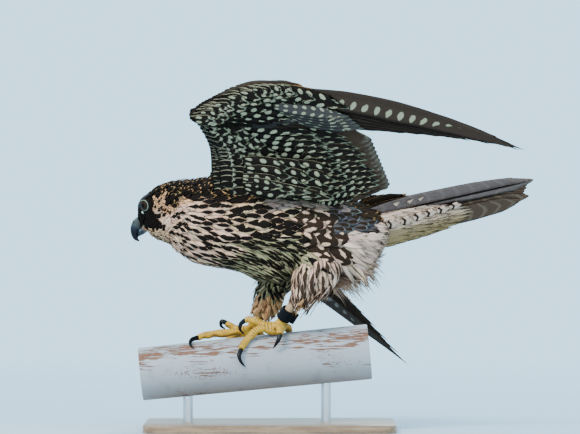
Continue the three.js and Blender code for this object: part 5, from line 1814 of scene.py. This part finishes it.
# %% Lines of the toes and claws
LEGS = {
    "left": {
        "pad": ((4, -12.3, 101.4), (11.5, 6.2, 6.4)),
        "toes": {
            "middle": ((7, -12, 104), (-6, -14, 102.5), (-13.5, -15.5, 99.5), (-21, -18.5, 92.5),
                       (-26.5, -23.5, 86), (-28.8, -27.5, 81.5)),
            "inner": ((5, -9, 104), (-6, -6, 105), (-13.5, -4, 108.2), (-21, -2, 110.5), (-24.3, -1, 110)),
            "outer": ((9, -14, 104), (9.6, -20, 103.4), (10.3, -26, 100.5), (10, -29.6, 96.5)),
            "back": ((11, -9, 103), (17, 0, 102.4), (19, 9, 99.6), (19, 17, 95.6)),
        },
        "claws": {
            "middle": ((-28.8, -28.5, 80.5), (-30.6, -32, 75), (-28.6, -31.5, 69), (-24.2, -28.4, 64)),
            "inner": ((-24.3, -1, 110), (-29, 0, 106), (-30, 1, 100.5), (-25.5, 1, 95.4)),
            "outer": ((10, -30, 95.8), (8.6, -32, 91), (6, -30.6, 86.6), (3.3, -27, 82.4)),
            "back": ((19, 17.6, 95), (20, 24, 92.6), (19.6, 28, 87.4), (18.5, 27.6, 82)),
        },
    },
    "right": {
        "pad": ((-24, 13, 96.5), (9, 7, 8)),
        "toes": {
            "middle": ((-24, 11, 98), (-41, 7, 97), (-55.6, 4, 95.8), (-64.7, 1, 94.6), (-72, -2, 92.4)),
            "inner": ((-24, 13, 98), (-31, 15, 99.4), (-38, 18, 102.4), (-43.6, 20, 106.2)),
            "outer": ((-25, 15, 97), (-36, 22, 92), (-45, 27, 86.5), (-50, 30, 80)),
            "back": ((-20, 14, 97), (-12, 20, 95.4), (-5, 26, 89), (-3, 29.6, 83)),
        },
        "claws": {
            "middle": ((-72.6, -2.6, 92.2), (-78, -8, 90.4), (-79.6, -14, 86.6), (-75.5, -19.6, 81.5)),
            "inner": ((-43.8, 20, 106.4), (-48.6, 21, 108), (-49.4, 22, 104), (-44, 23, 99.5)),
            "outer": ((-50.2, 30.4, 79.6), (-53, 32.6, 75), (-52.6, 31.6, 69), (-49, 28, 64.6)),
            "back": ((-2.8, 30, 82.4), (0, 32.6, 78), (0.6, 31.6, 72), (-2, 28.4, 67)),
        },
    },
}
TOE_RADIUS = (4.2, 3.6, 3.9, 3.3, 3.4, 2.7)
SCUTE = 2.4
CLAW_RADIUS = (2.7, 2.3, 1.6, 0.35)


# %% Limbs laid on the tube
def tube_up(points):
    """The way out of the tube at each point, which is the upper side of a toe on it."""
    axis = np.array(TUBE_AXIS)
    spoke = points - np.array((TUBE["x"], 0, TUBE["z"]))
    return unit(spoke - (spoke @ axis)[..., None] * axis)


def shaped_limb(name, line, radius_at, count, sides, swell):
    """A round limb along a line; swell(v, upness) scales its radius."""
    places = through(line, count)
    forward = unit(np.gradient(places, axis=0))
    top = tube_up(places)
    top = unit(top - np.sum(top * forward, axis=1, keepdims=True) * forward)
    side = np.cross(forward, top)
    turn = full_turn(sides)
    v = np.linspace(0, 1, count)
    radius = radius_at(v)[:, None] * swell(v[:, None], np.cos(turn)[None])
    points = places[:, None] + radius[..., None] * (
        np.cos(turn)[None, :, None] * top[:, None] + np.sin(turn)[None, :, None] * side[:, None])
    return closed_piece(name, points.reshape(-1, 3), tube_faces(count, sides))


def spaced(values):
    """A function that gives the values at even steps of its input, from 0 to 1."""
    spots = np.linspace(0, 1, len(values))
    return lambda v: np.interp(v, spots, values)


def scutes_on(line):
    return round(np.sum(np.linalg.norm(np.diff(np.array(line), axis=0), axis=1)) / SCUTE)


# %% Toes and claws
def toe_piece(line):
    scutes = scutes_on(line)
    joints = len(line) - 1

    def swell(v, upness):
        step = 1 - (v * scutes) % 1
        plates = 0.14 * step * ramp(upness, 0.0, 0.4)
        pads = 0.16 * np.cos(2 * math.pi * v * (joints - 1)) * ramp(-upness, 0.0, 0.7)
        return 1 + plates + pads

    return shaped_limb("toe", line, spaced(TOE_RADIUS), 10 * scutes, 28, swell)


def claw_radius(v):
    return spaced(CLAW_RADIUS)(v) * (1 - 0.25 * ramp(v, 0.9, 1.0))


def claw_groove(v, upness):
    return 1 - 0.12 * ramp(-upness, 0.75, 1.0) - 0.1 * (1 - np.abs(upness))


def plate_phase(points, lines):
    """How far along its scute each point lies, from 0 to 1, measured on the nearest toe."""
    v = np.linspace(0, 1, 160)
    places = np.vstack([through(line, at=v) for line in lines])
    phases = np.concatenate([(v * scutes_on(line)) % 1 for line in lines])
    tree = KDTree(len(places))
    for k, place in enumerate(places):
        tree.insert(place, k)
    tree.balance()
    return np.array([phases[tree.find(point)[1]] for point in points])


# %% Finishes of feet and claws
def foot_finish():
    look = Finish("yellow_foot_skin", Roughness=0.5, Specular_IOR_Level=0.2)
    soil = look.noise(150, 5.0)
    seam = look.node("TexVoronoi", {"Vector": look.place(), "Scale": 620.0}, feature="DISTANCE_TO_EDGE")
    lines = 1 - seam.step(0.0, 0.12)
    sole, plate = look.painted("sole", out="Fac"), look.painted("plate", out="Fac")
    colour = look.mixed(soil.step(0.35, 0.75), (0.66, 0.34, 0.018), (0.38, 0.17, 0.012))
    # scale seams are darker in their own colour; the underside that faces the tube and the low end of each
    # scute, where it meets the next, are darkened as painted shade
    seams_and_shade = lines * 0.35 * (1 - plate) + sole * 0.6 + plate.step(0.55, 0.95) * 0.85
    colour = look.mixed(seams_and_shade.at_most(0.9), colour, (0.07, 0.03, 0.006))
    # a pale band on the raised edge of each scute: a painted highlight
    colour = look.mixed(plate.step(0.0, 0.1) * (1 - plate.step(0.15, 0.4)) * 0.45, colour, (0.85, 0.58, 0.16))
    x, y, z = look.parts(look.place())
    colour = look.mixed(z.step(0.110, 0.116) * 0.8, colour, (0.50, 0.32, 0.20))
    return look.drive(Base_Color=colour, Normal=look.bumped(seam.at_most(0.2) * 3 + soil * 0.3, 0.22))


claw_look = Finish("claw_horn", Base_Color=(0.004, 0.0035, 0.004), Roughness=0.25,
                   Specular_IOR_Level=0.16).material
foot_look = foot_finish()

# %% Both feet
SHANK_RADIUS = ((0, 0.5, 0.85, 1), (4.6, 4.2, 4.7, 5.2))
SHANK_STEPS = 16
FOOT_VOXEL = 0.42
# height below which the undersides of the feet are painted dark, as painted shade
SOLE_SHADE_TOP = 106
SHANK_END = {"left": 0.79, "right": 0.89}
for side, leg in LEGS.items():
    parts = [toe_piece(line) for line in leg["toes"].values()]
    centre, sizes = leg["pad"]
    deselect()
    bpy.ops.mesh.primitive_uv_sphere_add(segments=40, ring_count=24, radius=MM, location=Vector(centre) * MM,
                                         scale=sizes)
    parts.append(bpy.context.object)
    apply_place(parts[-1])
    knee, ankle = (np.array(p, float) for p in SHANKS[side])
    line = [knee + (ankle - knee) * share for share in (0.3, 0.6, SHANK_END[side], 1.0)]
    parts.append(shaped_limb("shank", line, lambda v: np.interp(v, *SHANK_RADIUS), 60, 32,
                             lambda v, upness: 1 + 0.05 * (1 - (v * SHANK_STEPS) % 1)))
    foot = joined(parts, "foot_skin_" + side)
    melted(foot, FOOT_VOXEL, 0.4, 2)
    points, normals = vertex_arrays(foot)
    upness = np.sum(normals * tube_up(points), axis=1)
    plates = plate_phase(points, leg["toes"].values())
    # the underside that faces the tube is painted dark as painted shade; the scute phase on the upper side
    # drives painted shade and highlight
    paint(foot, "sole", ramp(-upness, 0.1, 0.8) * (points[:, 2] < SOLE_SHADE_TOP), "FLOAT")
    paint(foot, "plate", plates * ramp(upness, 0.1, 0.4), "FLOAT")
    dress(foot, foot_look, "foot_skin", "foot_" + side, "tarsus_" + side)
    for toe, line in leg["claws"].items():
        name = "claw_%s_%s" % (side, toe)
        dress(shaped_limb(name, line, claw_radius, 40, 24, claw_groove), claw_look, "claw", name)
    print("foot", side, "faces:", len(foot.data.polygons))

# %% [markdown]
# ## Floor, light and camera
#
# The model stands on a plain pale floor in a soft studio light: a large key lamp high on the left, where
# the open sky was, a wide fill from the camera side and a gentle rim from behind. A long lens a few
# metres away looks level at the bird, so that its outline isn't pulled out of shape.

# %% Floor
deselect()
bpy.ops.mesh.primitive_plane_add(size=12, location=(0, 0, 0))
floor = bpy.context.object
floor.name = "studio_floor"
floor_look = Finish("floor", Base_Color=(0.46, 0.56, 0.63), Roughness=0.9, Specular_IOR_Level=0.1)
x, y, z = floor_look.parts(floor_look.place())
floor_look.drive(Alpha=1 - ((x**2 + y**2) ** 0.5).step(0.35, 2.6))
floor.data.materials.append(floor_look.material)


# %% Lamps and sky
BIRD_MIDDLE = (0.02, 0, 0.21)
SKY_COLOUR, SKY_STRENGTH = (0.50, 0.83, 1.06, 1), 2.2


def lamp(name, place, size, power, colour=(1, 1, 1)):
    data = bpy.data.lights.new(name, "AREA")
    data.shape, data.size, data.energy, data.color = "DISK", size, power, colour
    light = bpy.data.objects.new(name, data)
    light.location = place
    light.rotation_euler = (Vector(BIRD_MIDDLE) - Vector(place)).to_track_quat("-Z", "Y").to_euler()
    bpy.context.scene.collection.objects.link(light)


lamp("key", (-1.1, -1.5, 1.9), 0.9, 75, (1, 0.93, 0.84))
lamp("fill", (1.5, -1.9, 0.9), 1.8, 14)
lamp("rim", (0.6, 1.8, 1.5), 1.2, 26)
lamp("front_low", (-0.4, -2.2, 0.35), 1.4, 8)
world = bpy.data.worlds.new("sky")
bpy.context.scene.world = world
world.use_nodes = True
background = world.node_tree.nodes["Background"]
background.inputs["Color"].default_value = SKY_COLOUR
background.inputs["Strength"].default_value = SKY_STRENGTH

# %% Camera
LENS, SENSOR = 300, 36
WIDTH_SEEN = 580
AIM_X, AIM_Z = 20, 213
FAR_CLIP = 90
distance = WIDTH_SEEN * LENS / SENSOR
data = bpy.data.cameras.new("camera")
data.lens, data.sensor_width, data.clip_end = LENS, SENSOR, FAR_CLIP
camera = bpy.data.objects.new("camera", data)
camera.location = Vector((AIM_X, -distance, AIM_Z)) * MM
camera.rotation_euler = (math.radians(90), 0, 0)
bpy.context.scene.collection.objects.link(camera)
bpy.context.scene.camera = camera
